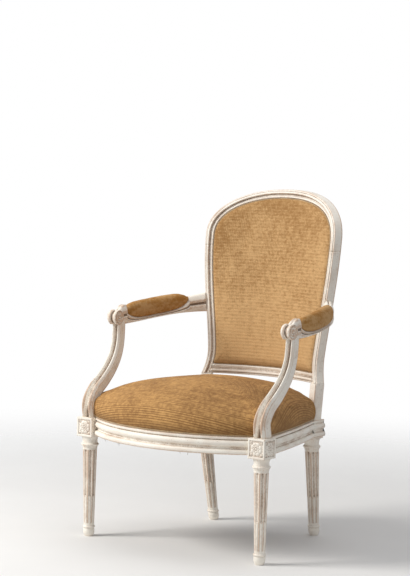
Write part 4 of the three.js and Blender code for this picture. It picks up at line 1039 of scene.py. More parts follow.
def arm_profile():
    """Section of an arm across and up, as shares: a rounded belly, a quirk, a side hollow, a domed top."""
    half = moulding((0.62, 0.0), [
        (0.96, 0.14, 0.06), (1.0, 0.36, 0.05), (0.90, 0.42, 0), (0.86, 0.54, -0.03), (1.0, 0.62, 0),
        (0.98, 0.74, 0.02), (0.0, 1.0, 0.17),
    ], density=40)
    return np.vstack([half, (half[:-1] * [-1, 1])[::-1]])


def arm_wood():
    """The arm from the scroll to the stile: its section carried along it, close-set at the pad's two ends."""
    arms = sizes("arms")
    run, start, stop = arm_span()
    middle, half = (start + stop) / 2, (stop - start) / 2
    under_pad = middle + half * np.sin(np.linspace(-np.pi / 2, np.pi / 2, 80))
    step = np.array([-0.004, -0.002, -0.0004, -0.0001])
    along = np.unique(np.concatenate([
        np.linspace(0, start, 16), under_pad, start + step, stop - step, np.linspace(stop, run + 0.010, 22),
    ]))
    shares = arm_profile()
    swell = 1 + 0.05 * smoothstep(0.03, 0.0, along)
    across = shares[None, :, 0] * (arms.width / 2) * swell[:, None]
    low = arm_underside(along)[:, None]
    z = low + shares[None, :, 1] * arm_height(along)[:, None]
    return arm_point(along[:, None], across, z)


def scroll_roll():
    """The rolled end: its section turned about the axis across the arm, two beads with a groove between."""
    arms = sizes("arms")
    half, wide = arms.scroll_width / 2, arms.scroll
    groove = wide - 0.0042
    line = moulding((0.0, -half + 0.0022), [
        (wide * 0.30, -half + 0.0022, 0), (wide * 0.84, -half + 0.0016, 0), (wide * 0.88, -half + 0.0002, 0),
        (wide * 0.95, -half + 0.0010, 0.0003), (wide * 0.93, -half * 0.30, 0.0016), (groove, -half * 0.22, 0),
        (groove, half * 0.22, -0.0004), (wide * 0.93, half * 0.30, 0), (wide * 0.95, half - 0.0010, 0.0016),
        (wide * 0.88, half - 0.0002, 0.0003), (wide * 0.84, half - 0.0016, 0),
        (wide * 0.30, half - 0.0022, 0), (0.0, half - 0.0022, 0),
    ], density=1400)
    radius, across = line.T
    angle = np.linspace(0, TAU, 120, endpoint=False)[:, None]
    return arm_point(radius * np.cos(angle), across, arms.scroll_z + radius * np.sin(angle))


def spiral_bead(side):
    """A bead that winds in to the eye on one face of the roll: a round section along a spiral."""
    arms = sizes("arms")
    turns, start = 2.1, -0.62 * np.pi
    share = np.linspace(0, 1, 260)[:, None]
    angle = start + turns * TAU * share
    radius = arms.scroll * (0.80 * (1 - share) ** 1.15 + 0.14)
    thick = 0.0019 * (1 - 0.35 * share)
    round_angle = np.linspace(0, TAU, 16, endpoint=False)[None, :]
    out = radius + thick * np.cos(round_angle)
    across = side * (arms.scroll_width / 2 - 0.0016) + side * thick * 1.15 * np.sin(round_angle)
    return arm_point(out * np.cos(angle), across, arms.scroll_z + out * np.sin(angle))


def eye_dome(side):
    """The eye of the scroll: a flattened half ball on one face of the roll."""
    arms = sizes("arms")
    angle = np.linspace(0, TAU, 40, endpoint=False)[None, :]
    lift = np.linspace(0, np.pi / 2 * 0.99, 12)[:, None]
    radius = 0.0040 * np.cos(lift)
    across = side * (arms.scroll_width / 2 - 0.0024 + 0.0034 * np.sin(lift))
    return arm_point(radius * np.cos(angle), across, arms.scroll_z + radius * np.sin(angle))


def make_arms():
    """The arms: the wood, cut off at the stile, and the rolled end with a spiral and an eye on both faces."""
    wood, roll = arm_wood(), scroll_roll()
    for name, side in SIDES:
        arm = trimmed(grid_piece(name + "_arm", mirrored(wood, side)), *arm_stile_plane(side))
        meshes = [arm, closed_turning(name + "_roll", mirrored(roll, side))]
        for face in (1, -1):
            meshes.append(grid_piece(name + "_bead", mirrored(spiral_bead(face), side)))
            meshes.append(grid_piece(name + "_eye", mirrored(eye_dome(face), side)))
        place_wood(name + "_arm_wood", meshes, name + "_arm_rest")


def closed_turning(name, rings):
    """A turned piece whose rings run round the axis: the grid closes both ways, and its poles are welded."""
    mesh = grid_piece(name, np.concatenate([rings, rings[:1]], axis=0), caps=False, wrap=False)
    with opened(mesh) as work:
        bmesh.ops.remove_doubles(work, verts=work.verts[:], dist=1e-6)
        bmesh.ops.recalc_face_normals(work, faces=work.faces[:])
    if signed_volume(mesh) < 0:
        mesh.flip_normals()
    mesh.shade_smooth()
    mesh.update()
    return mesh


def arm_stile_plane(side):
    """The plane where an arm ends: the outer side of the stile at the arm's height."""
    back = sizes("back")
    low, high = arm_end(), arm_end() + 0.01
    half = float(back_half(low))
    point = back_point(half, low, 0)
    inward = back_point(half, low, back.thickness) - point
    rise = back_point(float(back_half(high)), high, 0) - point
    normal = unit(np.cross(inward, rise))
    if normal[0] > 0:
        normal = -normal
    point = point - normal * 0.0002
    return (point * [side, 1, 1]).tolist(), (normal * [side, 1, 1]).tolist()


def make_supports():
    """The supports: a tapering section swept back and up from the front blocks to the scrolls."""
    seat, arms = sizes("seat"), sizes("arms")
    low = seat.rail_top + SEAM
    reach = arms.scroll_y + arms.behind
    sweep = np.array([
        [0, 0], [-0.03, 0.16], [0.13, 0.29], [0.43, 0.41], [0.68, 0.53], [0.86, 0.657], [0.956, 0.785],
        [0.99, 0.918], [1, 1.06],
    ])
    line = curve_through(sweep * [reach, arms.scroll_z - arms.scroll - low], 130)
    along = directions(line)
    along[0] = (0, 1)
    share = np.linspace(0, 1, len(line))
    taper = (arms.support_top - arms.support_foot) / 2 * np.clip(share * 1.25, 0, 1)
    half = arms.support_foot / 2 + taper
    shares = support_profile()
    across, front = shares[None, :, 0] * half[:, None], shares[None, :, 1] * half[:, None]
    drift = (arms.scroll_x - seat.leg_spacing / 2) * smoothstep(0.2, 1, share)[:, None]
    x = seat.leg_spacing / 2 + drift + across
    y = LEG_Y + line[:, :1] - along[:, 1:] * front
    z = low + line[:, 1:] + along[:, :1] * front
    rings = np.stack([x, y, z], axis=-1)
    for name, side in SIDES:
        place_wood(name + "_support", [grid_piece(name + "_support", mirrored(rings, side))],
                   name + "_arm_support")


# Materials

class Graph:
    """A material's nodes, with short calls for the common ones."""

    def __init__(self, name):
        self.material = bpy.data.materials.new(name)
        self.material.use_nodes = True
        self.tree = self.material.node_tree
        self.shader = next(node for node in self.tree.nodes if node.type == "BSDF_PRINCIPLED")

    def node(self, kind, inputs=(), **settings):
        """A node with its settings and its inputs, each an output to link or a plain value."""
        node = self.tree.nodes.new(kind)
        for key, value in settings.items():
            setattr(node, key, value)
        for key, value in dict(inputs).items():
            self.put(node.inputs[key], value)
        return node

    def put(self, socket, value):
        """Links an output to a socket, or sets the socket's value. A colour may leave out its alpha."""
        if isinstance(value, bpy.types.NodeSocket):
            self.tree.links.new(value, socket)
        elif isinstance(value, (int, float)):
            socket.default_value = value
        else:
            values = tuple(value)
            socket.default_value = values + (1.0,) if socket.type == "RGBA" and len(values) == 3 else values

    def math(self, operation, first, second=0.0):
        """One step of arithmetic."""
        return self.node("ShaderNodeMath", {0: first, 1: second}, operation=operation).outputs[0]

    def plus(self, first, *others):
        """The sum of all parts."""
        for other in others:
            first = self.math("ADD", first, other)
        return first

    def times(self, first, *others):
        """The product of all parts."""
        for other in others:
            first = self.math("MULTIPLY", first, other)
        return first

    def swing(self, value, share):
        """A share of how far a value between 0 and 1 lies above its middle."""
        return self.times(self.math("SUBTRACT", value, 0.5), share)

    def wave(self, value, pitch):
        """A sine wave of a value, with a pitch in the value's own unit."""
        return self.math("SINE", self.times(value, TAU / pitch))

    def mix(self, share, first, second):
        """From the first colour to the second by a share."""
        node = self.node("ShaderNodeMix", data_type="RGBA")
        for number, value in ((0, share), (6, first), (7, second)):
            self.put(node.inputs[number], value)
        return node.outputs[2]

    def steps(self, value, low, high, out_low=0.0, out_high=1.0):
        """A smooth rise between the two out values, from low to high."""
        inputs = {0: value, 1: low, 2: high, 3: out_low, 4: out_high}
        return self.node("ShaderNodeMapRange", inputs, interpolation_type="SMOOTHSTEP").outputs[0]

    def place(self):
        """Object coordinates."""
        return self.node("ShaderNodeTexCoord").outputs["Object"]

    def uv(self):
        """The piece's own map."""
        return self.node("ShaderNodeUVMap").outputs[0]

    def parts(self, vector):
        """The three parts of a vector."""
        return tuple(self.node("ShaderNodeSeparateXYZ", {0: vector}).outputs)

    def stretched(self, vector, scale):
        """A vector scaled by three factors."""
        return self.node("ShaderNodeMapping", {"Vector": vector, "Scale": scale}).outputs[0]

    def noise(self, vector, scale, detail=4.0, roughness=0.55):
        """Cloudy values around a half."""
        inputs = {"Vector": vector, "Scale": scale, "Detail": detail, "Roughness": roughness}
        return self.node("ShaderNodeTexNoise", inputs).outputs["Fac"]

    def relief(self):
        """How sunk the surface lies, as its mesh keeps it."""
        return self.node("ShaderNodeAttribute", attribute_name="relief").outputs["Fac"]

    def bump(self, height, strength, distance):
        """A normal tilted by a height."""
        inputs = {"Height": height, "Strength": strength, "Distance": distance}
        return self.node("ShaderNodeBump", inputs).outputs[0]

    def finish(self, colour, roughness, normal=None, **extra):
        """Sets the shader's colour, roughness and normal, and any other sockets by name."""
        self.put(self.shader.inputs["Base Color"], colour)
        self.put(self.shader.inputs["Roughness"], roughness)
        if normal is not None:
            self.put(self.shader.inputs["Normal"], normal)
        for key, value in extra.items():
            self.put(self.shader.inputs[key.replace("_", " ")], value)
        return self.material


def once(build):
    """Keeps one material for every piece that asks for it."""
    kept = []

    def material():
        if not kept:
            kept.append(build())
        return kept[0]

    return material


def shade(tint, *shares):
    """A colour times one share, or times a share for each of its three parts."""
    return tuple(share * part for share, part in zip(shares * 3 if len(shares) == 1 else shares, tint))


def blend(first, second, share):
    """From the first colour to the second by a share."""
    return tuple((1 - share) * one + share * two for one, two in zip(first, second))


@once
def paint_material():
    """Old cream paint: staining and painted shade in hollows, rubbed edges with bare wood, tan washes,
    blotches and specks.
    """
    tints = sizes("finish")
    g = Graph("cream_paint")
    place, uv, relief = g.place(), g.uv(), g.relief()
    blotch = g.noise(place, 24.0, 5.0)
    fine = g.noise(place, 210.0, 4.0, 0.65)
    streak = g.noise(g.stretched(uv, (11.0, 240.0, 1.0)), 1.0, 5.0, 0.6)
    speck = g.noise(place, 520.0, 2.0, 0.5)
    hollow = g.plus(relief, g.swing(blotch, 0.55), g.swing(fine, 0.30))
    # Hollows darken to dark brown: partly old staining, partly painted shade where the grooves fall into
    # shadow
    dirt_and_hollow_shade = g.steps(hollow, 0.72, 1.0, 0.0, 0.9)
    wash = g.times(g.steps(hollow, 0.52, 0.74), g.steps(streak, 0.36, 0.62, 0.15, 0.9), 0.80)
    edge = g.plus(g.math("SUBTRACT", 1.0, relief), g.swing(fine, 0.60), g.swing(streak, 0.50))
    worn = g.steps(edge, 0.76, 1.02, 0.0, 0.72)
    rub = g.times(g.steps(blotch, 0.46, 0.62), g.steps(streak, 0.48, 0.60, 0.0, 0.48))
    grit = g.steps(g.plus(speck, g.swing(relief, 0.45)), 0.60, 0.72, 0.0, 0.6)
    base = g.mix(g.steps(blotch, 0.36, 0.66), tints.paint, blend(tints.paint, tints.bare, 0.14))
    base = g.mix(rub, base, blend(tints.paint, tints.bare, 0.55))
    base = g.mix(wash, base, shade(tints.bare, 0.7))
    base = g.mix(worn, base, tints.bare)
    base = g.mix(grit, base, shade(tints.grime_and_hollow_shade, 1.9))
    # Painted shade together with old staining in the hollows
    base = g.mix(dirt_and_hollow_shade, base, tints.grime_and_hollow_shade)
    rough = g.steps(fine, 0.3, 0.7, 0.42, 0.62)
    height = g.plus(g.times(fine, 0.6), g.times(streak, 0.5), g.times(worn, -0.5))
    return g.finish(base, rough, g.bump(height, 0.35, 0.0006))


def cloth_material(name, light, dark, pitch, line, low, high, painted_light_and_shade_by_height):
    """Ribbed cloth: broken lines along the piece's map, crossed by fine yarns, with rubbed parts and painted
    shade low down.

    The line is how much a rib's tone differs from the ground. Between the two heights the ribs weaken, and
    the cloth's tone goes from painted light below to painted shade above, by the share given.
    """
    g = Graph(name)
    place, uv = g.place(), g.uv()
    u, v, _ = g.parts(uv)
    z = g.parts(place)[2]
    wave = g.wave(g.plus(v, g.swing(g.noise(place, 16.0, 2.0), 0.0022)), pitch)
    dash = g.steps(g.noise(g.stretched(uv, (260.0, 150.0, 1.0)), 1.0, 2.0), 0.38, 0.58)
    rib = g.times(g.steps(wave, 0.30, 0.95), dash, g.steps(z, low, high, 1.0, 0.35))
    bar = g.times(g.wave(u, 0.55 * pitch), dash)
    weave = g.times(g.wave(v, WARP_PITCH), g.wave(u, WEFT_PITCH))
    slub = g.noise(g.stretched(uv, (110.0, 620.0, 1.0)), 1.0, 4.0, 0.6)
    mottle = g.noise(place, 95.0, 5.0, 0.7)
    patch = g.noise(place, 9.0, 4.0, 0.6)
    # Its first part is painted light and shade: lighter at the lower height, darker towards the upper one
    tone = g.plus(
        g.steps(z, low, high, 0.52 + 0.55 * painted_light_and_shade_by_height, 0.52 - 0.4 * painted_light_and_shade_by_height), g.times(rib, line),
        g.swing(slub, 1.05), g.swing(mottle, 1.75), g.swing(patch, 1.10), g.times(weave, 0.07),
        g.times(bar, 0.16),
    )
    # Painted shade: the cloth darkens in patches below the lower height, towards its bottom edge
    painted_low_shade = g.times(g.steps(z, low - 0.03, low, 1.0, 0.0), g.steps(patch, 0.35, 0.62, 0.25, 0.65))
    base = g.mix(g.steps(tone, -0.05, 1.05), dark, light)
    base = g.mix(painted_low_shade, base, shade(dark, 0.62))
    height = g.plus(g.times(wave, 0.35), g.times(weave, 0.15), g.times(slub, 0.8))
    normal = g.bump(height, 0.6, 0.0008)
    return g.finish(base, 0.88, normal, Sheen_Weight=0.05, Sheen_Roughness=0.5, Sheen_Tint=light)


@once
def seat_cloth_material():
    """The seat's cloth: dark ribs, strongest near the rail."""
    tints, top = sizes("finish"), sizes("seat").rail_top
    light = shade(tints.cloth_light, 0.90, 0.80, 0.60)
    dark = shade(tints.cloth, 0.66, 0.60, 0.50)
    return cloth_material("seat_cloth", light, dark, sizes("soft").rib, -0.80, top + 0.03, top + 0.14, 0.0)


@once
def back_cloth_material():
    """The back's cloth: wider and lighter ribs, on a ground painted lighter below and darker to the top:
    painted light and shade.
    """
    tints, back = sizes("finish"), sizes("back")
    pitch = sizes("soft").rib * 1.40
    low, high = back.foot + back.bottom + 0.02, back.height - 0.03
    return cloth_material("back_cloth", tints.cloth_light, tints.cloth, pitch, 0.60, low, high, 0.50)


@once
def velvet_material():
    """Worn velvet: a deep pile with lighter rubbed places and soft lights at its edges."""
    tints = sizes("finish")
    g = Graph("arm_velvet")
    place = g.place()
    pile = g.noise(place, 900.0, 2.0, 0.6)
    nap = g.noise(g.stretched(place, (34.0, 20.0, 60.0)), 1.0, 4.0, 0.6)
    crush = g.noise(place, 130.0, 3.0, 0.6)
    share = g.steps(g.plus(g.times(nap, 0.8), g.times(pile, 0.15), g.times(crush, 0.45)), 0.56, 0.84)
    pale = tuple(0.35 * deep + 0.60 * rubbed for deep, rubbed in zip(tints.velvet, tints.cloth_light))
    base = g.mix(share, tints.velvet, pale)
    normal = g.bump(g.plus(g.times(pile, 0.6), crush), 0.7, 0.0010)
    return g.finish(base, 0.9, normal, Sheen_Weight=0.10, Sheen_Roughness=0.35, Sheen_Tint=(0.95, 0.72, 0.40))


@once
def gimp_material():
    """Woven braid: a plaited surface from crossing waves along its length."""
    tints = sizes("finish")
    g = Graph("gimp")
    u, v, _ = g.parts(g.uv())
    lean = g.times(v, 0.8)
    plait = g.math("MAXIMUM", g.wave(g.plus(u, lean), PLAIT_PITCH),
                   g.wave(g.math("SUBTRACT", u, lean), PLAIT_PITCH))
    tone = g.plus(g.times(plait, 0.35), g.swing(g.noise(g.place(), 40.0, 4.0), 1.2))
    base = g.mix(g.steps(tone, -0.6, 0.6), shade(tints.gimp, 0.45), tints.gimp)
    return g.finish(base, 0.85, g.bump(plait, 0.7, 0.0007), Sheen_Weight=0.2)


@once
def jute_material():
    """Jute: a coarse plain weave, uneven and dusty."""
    tints = sizes("finish")
    g = Graph("jute")
    u, v, _ = g.parts(g.uv())
    weave = g.times(g.wave(u, 0.0030), g.wave(v, 0.0026))
    tone = g.plus(g.times(weave, 0.3), g.swing(g.noise(g.place(), 60.0, 5.0, 0.65), 1.4))
    base = g.mix(g.steps(tone, -0.6, 0.6), shade(tints.jute, 0.42), tints.jute)
    return g.finish(base, 0.95, g.bump(weave, 0.6, 0.0006))


@once
def steel_material():
    """Old spring wire: dark steel with rust blooms."""
    g = Graph("spring_steel")
    rust = g.steps(g.noise(g.place(), 120.0, 5.0, 0.7), 0.50, 0.68)
    base = g.mix(rust, sizes("finish").steel, (0.16, 0.062, 0.022))
    return g.finish(base, g.steps(rust, 0.0, 1.0, 0.38, 0.85), Metallic=g.steps(rust, 0.0, 1.0, 0.9, 0.1))


@once
def beech_material():
    """End grain of a beech peg, dark with age."""
    tints = sizes("finish")
    g = Graph("beech")
    grain = g.noise(g.stretched(g.place(), (900.0, 900.0, 120.0)), 1.0, 3.0)
    base = g.mix(g.steps(grain, 0.35, 0.65), shade(tints.beech, 0.55), tints.beech)
    return g.finish(base, 0.7, g.bump(grain, 0.2, 0.0003))


# Upholstery

def set_map(mesh, u, v):
    """Gives a mesh its map from two values for each point."""
    corners = np.empty(len(mesh.loops), np.int32)
    mesh.loops.foreach_get("vertex_index", corners)
    uv = np.stack([np.asarray(u, float)[corners], np.asarray(v, float)[corners]], axis=1)
    mesh.uv_layers.active.data.foreach_set("uv", uv.astype(np.float32).ravel())


def seat_outline(inset, count):
    """Plan outline of a cloth inside the rails' faces, the same drawn in round the supports and uprights, and
    the place of the crown. A point is drawn in along its ray from the crown.
    """
    seat, back, clear = sizes("seat"), sizes("back"), 0.001
    front, _ = front_rail_line(60, inset, 0)
    side = side_rail_line(np.linspace(0, 1, 60)) - [inset, 0]
    rear, _ = rear_rail_line(60, inset, 0)
    right = np.vstack([[side[0, 0], front[-1, 1]], side, [side[-1, 0], rear[-1, 1]]])
    whole = resample(np.vstack([front, right, rear[::-1], right[::-1] * [-1, 1]]), count, closed=True)
    crown = np.array([0.0, LEG_Y + sizes("soft").crown_y])
    ray = whole - crown
    x = np.abs(ray[:, 0])
    foot = sizes("arms").support_foot / 2
    inner = seat.leg_spacing / 2 - foot - clear
    behind = LEG_Y + foot + clear
    upright = back.foot_half - back.stile - clear
    before = back_point(back.foot_half, seat.rail_top, 0)[1] - clear
    with np.errstate(divide="ignore", invalid="ignore"):
        front_share = np.maximum(inner / x, (crown[1] - behind) / -ray[:, 1])
        rear_share = np.maximum(upright / x, (before - crown[1]) / ray[:, 1])
    share = np.where(ray[:, 1] < 0, np.minimum(1, front_share), np.minimum(1, rear_share))
    return whole, crown + ray * share[:, None], crown


def seat_rings(levels, outline, drawn, crown):
    """Rings of the seat. Each level gives how far out from the crown, and how high as a share of it."""
    scale, up = (level[:, None, None] for level in levels.T)
    crease = 1 - smoothstep(0.25, 1.0, up)
    plan = outline * (1 - crease) + drawn * crease
    flat = crown + (plan - crown) * scale
    height = sizes("seat").rail_top + 0.0006 + levels[:, 1][:, None] * sizes("soft").crown
    return lifted(flat, height)


def lifted(plan, height):
    """Rings from their plans and one height for each."""
    z = np.broadcast_to(height, plan.shape[:2])
    return np.concatenate([plan, z[..., None]], axis=-1)


def seat_hold(points):
    """How firmly the seat's cloth is held: at the rail, against supports and uprights, and underneath."""
    seat, back = sizes("seat"), sizes("back")
    x, y = np.abs(points[:, 0]), points[:, 1]
    foot = sizes("arms").support_foot / 2
    before = back_point(back.foot_half, seat.rail_top, 0)[1]
    support = np.hypot(np.maximum(seat.leg_spacing / 2 - foot - x, 0), np.maximum(y - LEG_Y - foot, 0))
    upright = np.hypot(np.maximum(back.foot_half - back.stile - x, 0), np.maximum(before - y, 0))
    up = points[:, 2] - seat.rail_top
    near = np.minimum(up - 0.004, np.minimum(support, upright))
    inside = np.hypot(x / 0.27, (y - LEG_Y - sizes("soft").crown_y) / 0.22) < 0.85
    underneath = inside & (up < SACKING_RISE + 0.006)
    return np.where(underneath, 1.0, 1 - smoothstep(0.003, 0.028, near))


def sacking_line():
    """The sacking in section: how far out from the crown, and how high. Flat on the rails, then domed."""
    scale = np.linspace(0.004, 1, 60)
    rise = np.interp(scale, [0, 0.3, 0.6, 0.78, 0.9], [1, 0.985, 0.97, 0.75, 0])
    return np.stack([scale, SACKING_RISE * rise], 1)


def seat_levels(crown=1.0, swell=1.0, hollow=False):
    """The seat in section: a swell over the rail, a round shoulder, then a flattening dome.

    A hollow one follows the sacking underneath, with a gap of 2.4 mm.
    """
    swell *= sizes("soft").bulge / (sizes("seat").leg_spacing / 2)
    upper = curve_through(np.array([
        [1, 0], [1 + 0.55 * swell, 0.05], [1 + 0.95 * swell, 0.14], [1 + swell, 0.21],
        [1 + 0.7 * swell, 0.30], [1, 0.394], [0.964, 0.484], [0.884, 0.605], [0.744, 0.752],
        [0.554, 0.881], [0.316, 0.969],
        [0.12, 0.997], [0.004, 1],
    ]) * [1, crown], 110)
    if not hollow:
        return upper
    under = [0.955, 1 / sizes("soft").crown] * (sacking_line() + [0, 0.0024])
    return np.vstack([under, upper])


def make_seat():
    """The seat's cover, stuffed, with a map of the distance round its foot and up its section."""
    plan = seat_outline(sizes("soft").inset, 520)
    rings = seat_rings(seat_levels(hollow=True), *plan)
    mesh = grid_piece("seat_cloth", rings)
    slack = grid_piece("seat_body", seat_rings(seat_levels(0.975, 1.1), *plan))
    stuffed(mesh, slack, seat_hold, cap=0.012, voxel=0.006)
    around = np.tile(travelled(rings[0]), (len(rings), 1))
    gaps = np.linalg.norm(np.diff(rings, axis=0), axis=2)
    reach = np.vstack([np.zeros(rings.shape[1]), np.cumsum(gaps, axis=0)])
    set_map(mesh, np.append(around, [0, 0]), np.append(reach, [0, reach.max()]))
    place_padded("seat_cover", mesh, seat_cloth_material(), "ribbed_cloth", "seat_cushion")


def braid(name, path, out, up, width, thickness):
    """A flat braid along a closed path: an eased strip lying against the surface behind it."""
    half = width / 2
    corners = [(-half, 0), (-half, thickness), (half, thickness), (half, 0)]
    outline = rounded_profile(corners, thickness * 0.45, 24)
    rings = path[:, None, :] + out[:, None, :] * outline[None, :, 1:] + up[:, None, :] * outline[None, :, :1]
    return grid_piece(name, np.concatenate([rings, rings[:1]], axis=0), caps=False)


def make_seat_gimp():
    """The braid round the seat's foot, upright against the cloth."""
    seat, soft = sizes("seat"), sizes("soft")
    _, drawn, _ = seat_outline(soft.inset, 720)
    along = directions_round(drawn)
    out = np.column_stack([along[:, 1], -along[:, 0], np.zeros(len(along))])
    height = np.full(len(drawn), seat.rail_top + 0.0008 + soft.gimp / 2)
    path = np.column_stack([drawn + out[:, :2] * 0.0004, height])
    up = np.tile([0.0, 0.0, 1.0], (len(out), 1))
    mesh = braid("seat_gimp", path, out, up, soft.gimp, 0.0016)
    place("seat_gimp", [mesh], gimp_material(), "ribbed_cloth")


def back_opening(gap, count):
    """Inner outline of the back frame in width and height, anticlockwise from the middle of the bottom rail.

    The gap is measured inside the frame. A negative one reaches into the frame's rebate.
    """
    back = sizes("back")
    floor = back.foot + back.bottom + gap
    z = np.linspace(floor, back.joint_height, 80)
    side = np.stack([back_half(z) - back.stile - gap, z], 1)
    edge, inward, width = crest_stations()
    crest = (edge + inward * (width + gap)[:, None])[: len(edge) // 2 + 1]
    crest[-1, 0] = 0.0 if abs(crest[-1, 0]) < 1e-3 else crest[-1, 0]
    bottom = np.stack([np.linspace(0, side[0, 0], 40), np.full(40, floor)], 1)[:-1]
    right = np.vstack([bottom, side, crest])
    left = right[1:-1][::-1] * [-1, 1]
    return resample(np.vstack([right, left]), count, closed=True)


def back_panel(name, levels, gap=0.0006):
    """A panel in the back's opening through levels: scale about its middle, and depth behind its front."""
    back = sizes("back")
    outline = back_opening(gap, 560)
    middle = (back.foot + back.height) / 2
    scale, depth = levels[:, 0][:, None], levels[:, 1][:, None]
    x = outline[None, :, 0] * scale
    z = middle + (outline[None, :, 1] - middle) * scale
    mesh = grid_piece(name, back_point(x, z, depth))
    points = mesh_points(mesh)
    set_map(mesh, points[:, 0], points[:, 2])
    return mesh


def flat_levels(depth, edge):
    """Levels of a flat panel at a depth, from its middle out to its edge."""
    return np.array([[0.004, depth], [0.5, depth], [edge, depth]])


def back_hold(points):
    """How firmly the back's cloth is held: at the frame all round, and over its rear."""
    gap = points[:, None, ::2] - back_opening(0.0, 280)[None]
    edge = np.sqrt(np.einsum("ijk,ijk->ij", gap, gap).min(axis=1))
    depth = points[:, 1] - back_point(points[:, 0], points[:, 2], 0.0)[:, 1]
    return np.maximum(1 - smoothstep(0.004, 0.028, edge), smoothstep(0.003, 0.006, depth))


def make_back():
    """The back's three cloths: the stuffed front, the lining behind it and the outside back."""
    back, crown = sizes("back"), sizes("soft").back_crown
    lap = 0.0006 - back.rebate
    front = curve_through(np.array([
        [1, 0.0042], [0.9985, 0.0026], [0.993, 0.0010], [0.985, -0.0006], [0.93, -0.45 * crown],
        [0.82, -0.76 * crown], [0.6, -0.95 * crown], [0.3, -crown], [0.004, -crown],
    ]), 80)
    rear = flat_levels(0.0076, 1)
    mesh = back_panel("back_front", np.vstack([rear, front]), lap)
    slack = back_panel("back_body", np.vstack([rear + [0, 0.006], front * [1, 0.86]]), lap)
    stuffed(mesh, slack, back_hold, cap=0.005, voxel=0.005)
    place_padded("back_cover_front", mesh, back_cloth_material(), "ribbed_cloth", "back_pad")
    both = np.vstack([flat_levels(0.0145, 0.999), flat_levels(0.0153, 0.999)[::-1]])
    lining = back_panel("back_lining_cloth", both)
    place_padded("back_lining_cloth", lining, jute_material(), "jute", "back_lining")
    depth = back.thickness - 0.007
    swell = curve_through(np.array([
        [0.999, depth + 0.001], [0.993, depth + 0.003], [0.97, depth + 0.0042], [0.7, depth + 0.0048],
        [0.004, depth + 0.005],
    ]), 40)
    outside = back_panel("back_outside", np.vstack([flat_levels(depth, 0.998), swell]))
    material = back_cloth_material()
    place_padded("back_cover_outside", outside, material, "ribbed_cloth", "back_cover_panel")


def make_back_gimp():
    """The braid round the back's front and outside cloths, flat on their edges."""
    back, gimp = sizes("back"), sizes("soft").gimp
    meshes = []
    for depth, turn, lap in ((0.0030, -1, 0.0004 - back.rebate), (back.thickness - 0.0030, 1, 0)):
        x, z = back_opening(lap + gimp / 2, 720).T
        path = back_point(x, z, depth)
        out = (back_point(x, z, depth + 0.001 * turn) - path) / 0.001
        across = np.cross(out, directions_round(path))
        meshes.append(braid("back_gimp", path, out, across, gimp, 0.0018))
    place("back_gimp", meshes, gimp_material(), "ribbed_cloth")


def arm_pad_rings(fullness=1.0):
    """The pad on an arm: a stuffed roll in the wood's cradle, with a nearly level top and round ends."""
    arms = sizes("arms")
    right = np.array([
        [0.34, 0.975], [0.66, 0.89], [0.94, 0.66], [1, 0.38], [0.90, 0.14], [0.66, 0.02], [0.50, 0],
        [0.0, 0.0],
    ])
    left = right[::-1] * [-1, 1]
    shares = curve_through(np.vstack([left, [[0, 1]], right]), 97)[:-1]
    _, start, stop = arm_span()
    end = np.sin(np.linspace(-0.985, 0.985, 110) * np.pi / 2)
    along = (start + stop) / 2 + (stop - start) / 2 * end
    low = cradle(end) + 0.0004
    high = arms.pad_height - arms.pad_drop * np.abs(end) ** 6
    high = low + (high - low) * fullness
    width = (arms.pad_width / 2) * fullness * np.sqrt(1 - np.abs(end * 0.97) ** 3.4)
    across = shares[None, :, 0] * width[:, None]
    z = (arm_underside(along) + low)[:, None] + shares[None, :, 1] * (high - low)[:, None]
    return arm_point(along[:, None], across, z)


def make_arm_pads():
    """The pads' covers, stuffed and held along the wood."""
    rings, slack = arm_pad_rings(), arm_pad_rings(0.97)
    order = np.argsort(rings[:, 0, 1])
    along, base = rings[order, 0, 1], rings[order].min(axis=1)[:, 2]

    def hold(points):
        return 1 - smoothstep(0.003, 0.012, points[:, 2] - np.interp(points[:, 1], along, base))

    for name, side in SIDES:
        mesh = grid_piece(name + "_pad", mirrored(rings, side))
        stuffed(mesh, grid_piece("pad_body", mirrored(slack, side)), hold, cap=0.005, voxel=0.004)
        place_padded(name + "_pad_cover", mesh, velvet_material(), "arm_velvet", name + "_arm_pad")


def web_strap(node, axis, crossings, over):
    """A flat woven strap in its solid's place: it passes over and under the straps that cross it in turn.

    Its height is a cosine of its place between the crossings, which fades to the tacked height at its ends.
    """
    half_thick, swing, tacked = 0.00065, 0.00085, 0.00095
    low, high = (np.array(corner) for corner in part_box(node))
    middle = (low + high) / 2
    across = 1 - axis
    run = np.linspace(low[axis], high[axis], 140)
    turn = np.interp(run, crossings, np.arange(len(crossings)))
    rise = swing * over * np.cos(np.pi * turn)
    flat = smoothstep(0.046, 0.022, np.minimum(run - low[axis], high[axis] - run))
    half = (high[across] - low[across]) / 2
    corners = [(-half, -half_thick), (-half, half_thick), (half, half_thick), (half, -half_thick)]
    outline = rounded_profile(corners, 0.0005, 48)
    rings = np.zeros((len(run), len(outline), 3))
    rings[..., axis] = run[:, None]
    rings[..., across] = middle[across] + outline[:, 0]
    rings[..., 2] = (middle[2] + rise * (1 - flat) + tacked * flat)[:, None] + outline[:, 1]
    return grid_piece(node + "_strap", rings)


def tack(x, y, z):
    """A tack's domed head under a strap: its profile turned about an upright axis."""
    angle = np.linspace(0, TAU, 16, endpoint=False)
    profile = [[0.0004, -0.0012], [0.0018, -0.00105], [0.0030, -0.0005], [0.0034, 0.0], [0.0028, 0.0003]]
    radius, up = np.array(profile).T[..., None]
    head = [x + radius * np.cos(angle), y + radius * np.sin(angle), z + up + 0 * angle]
    return grid_piece("tack", np.stack(head, -1))


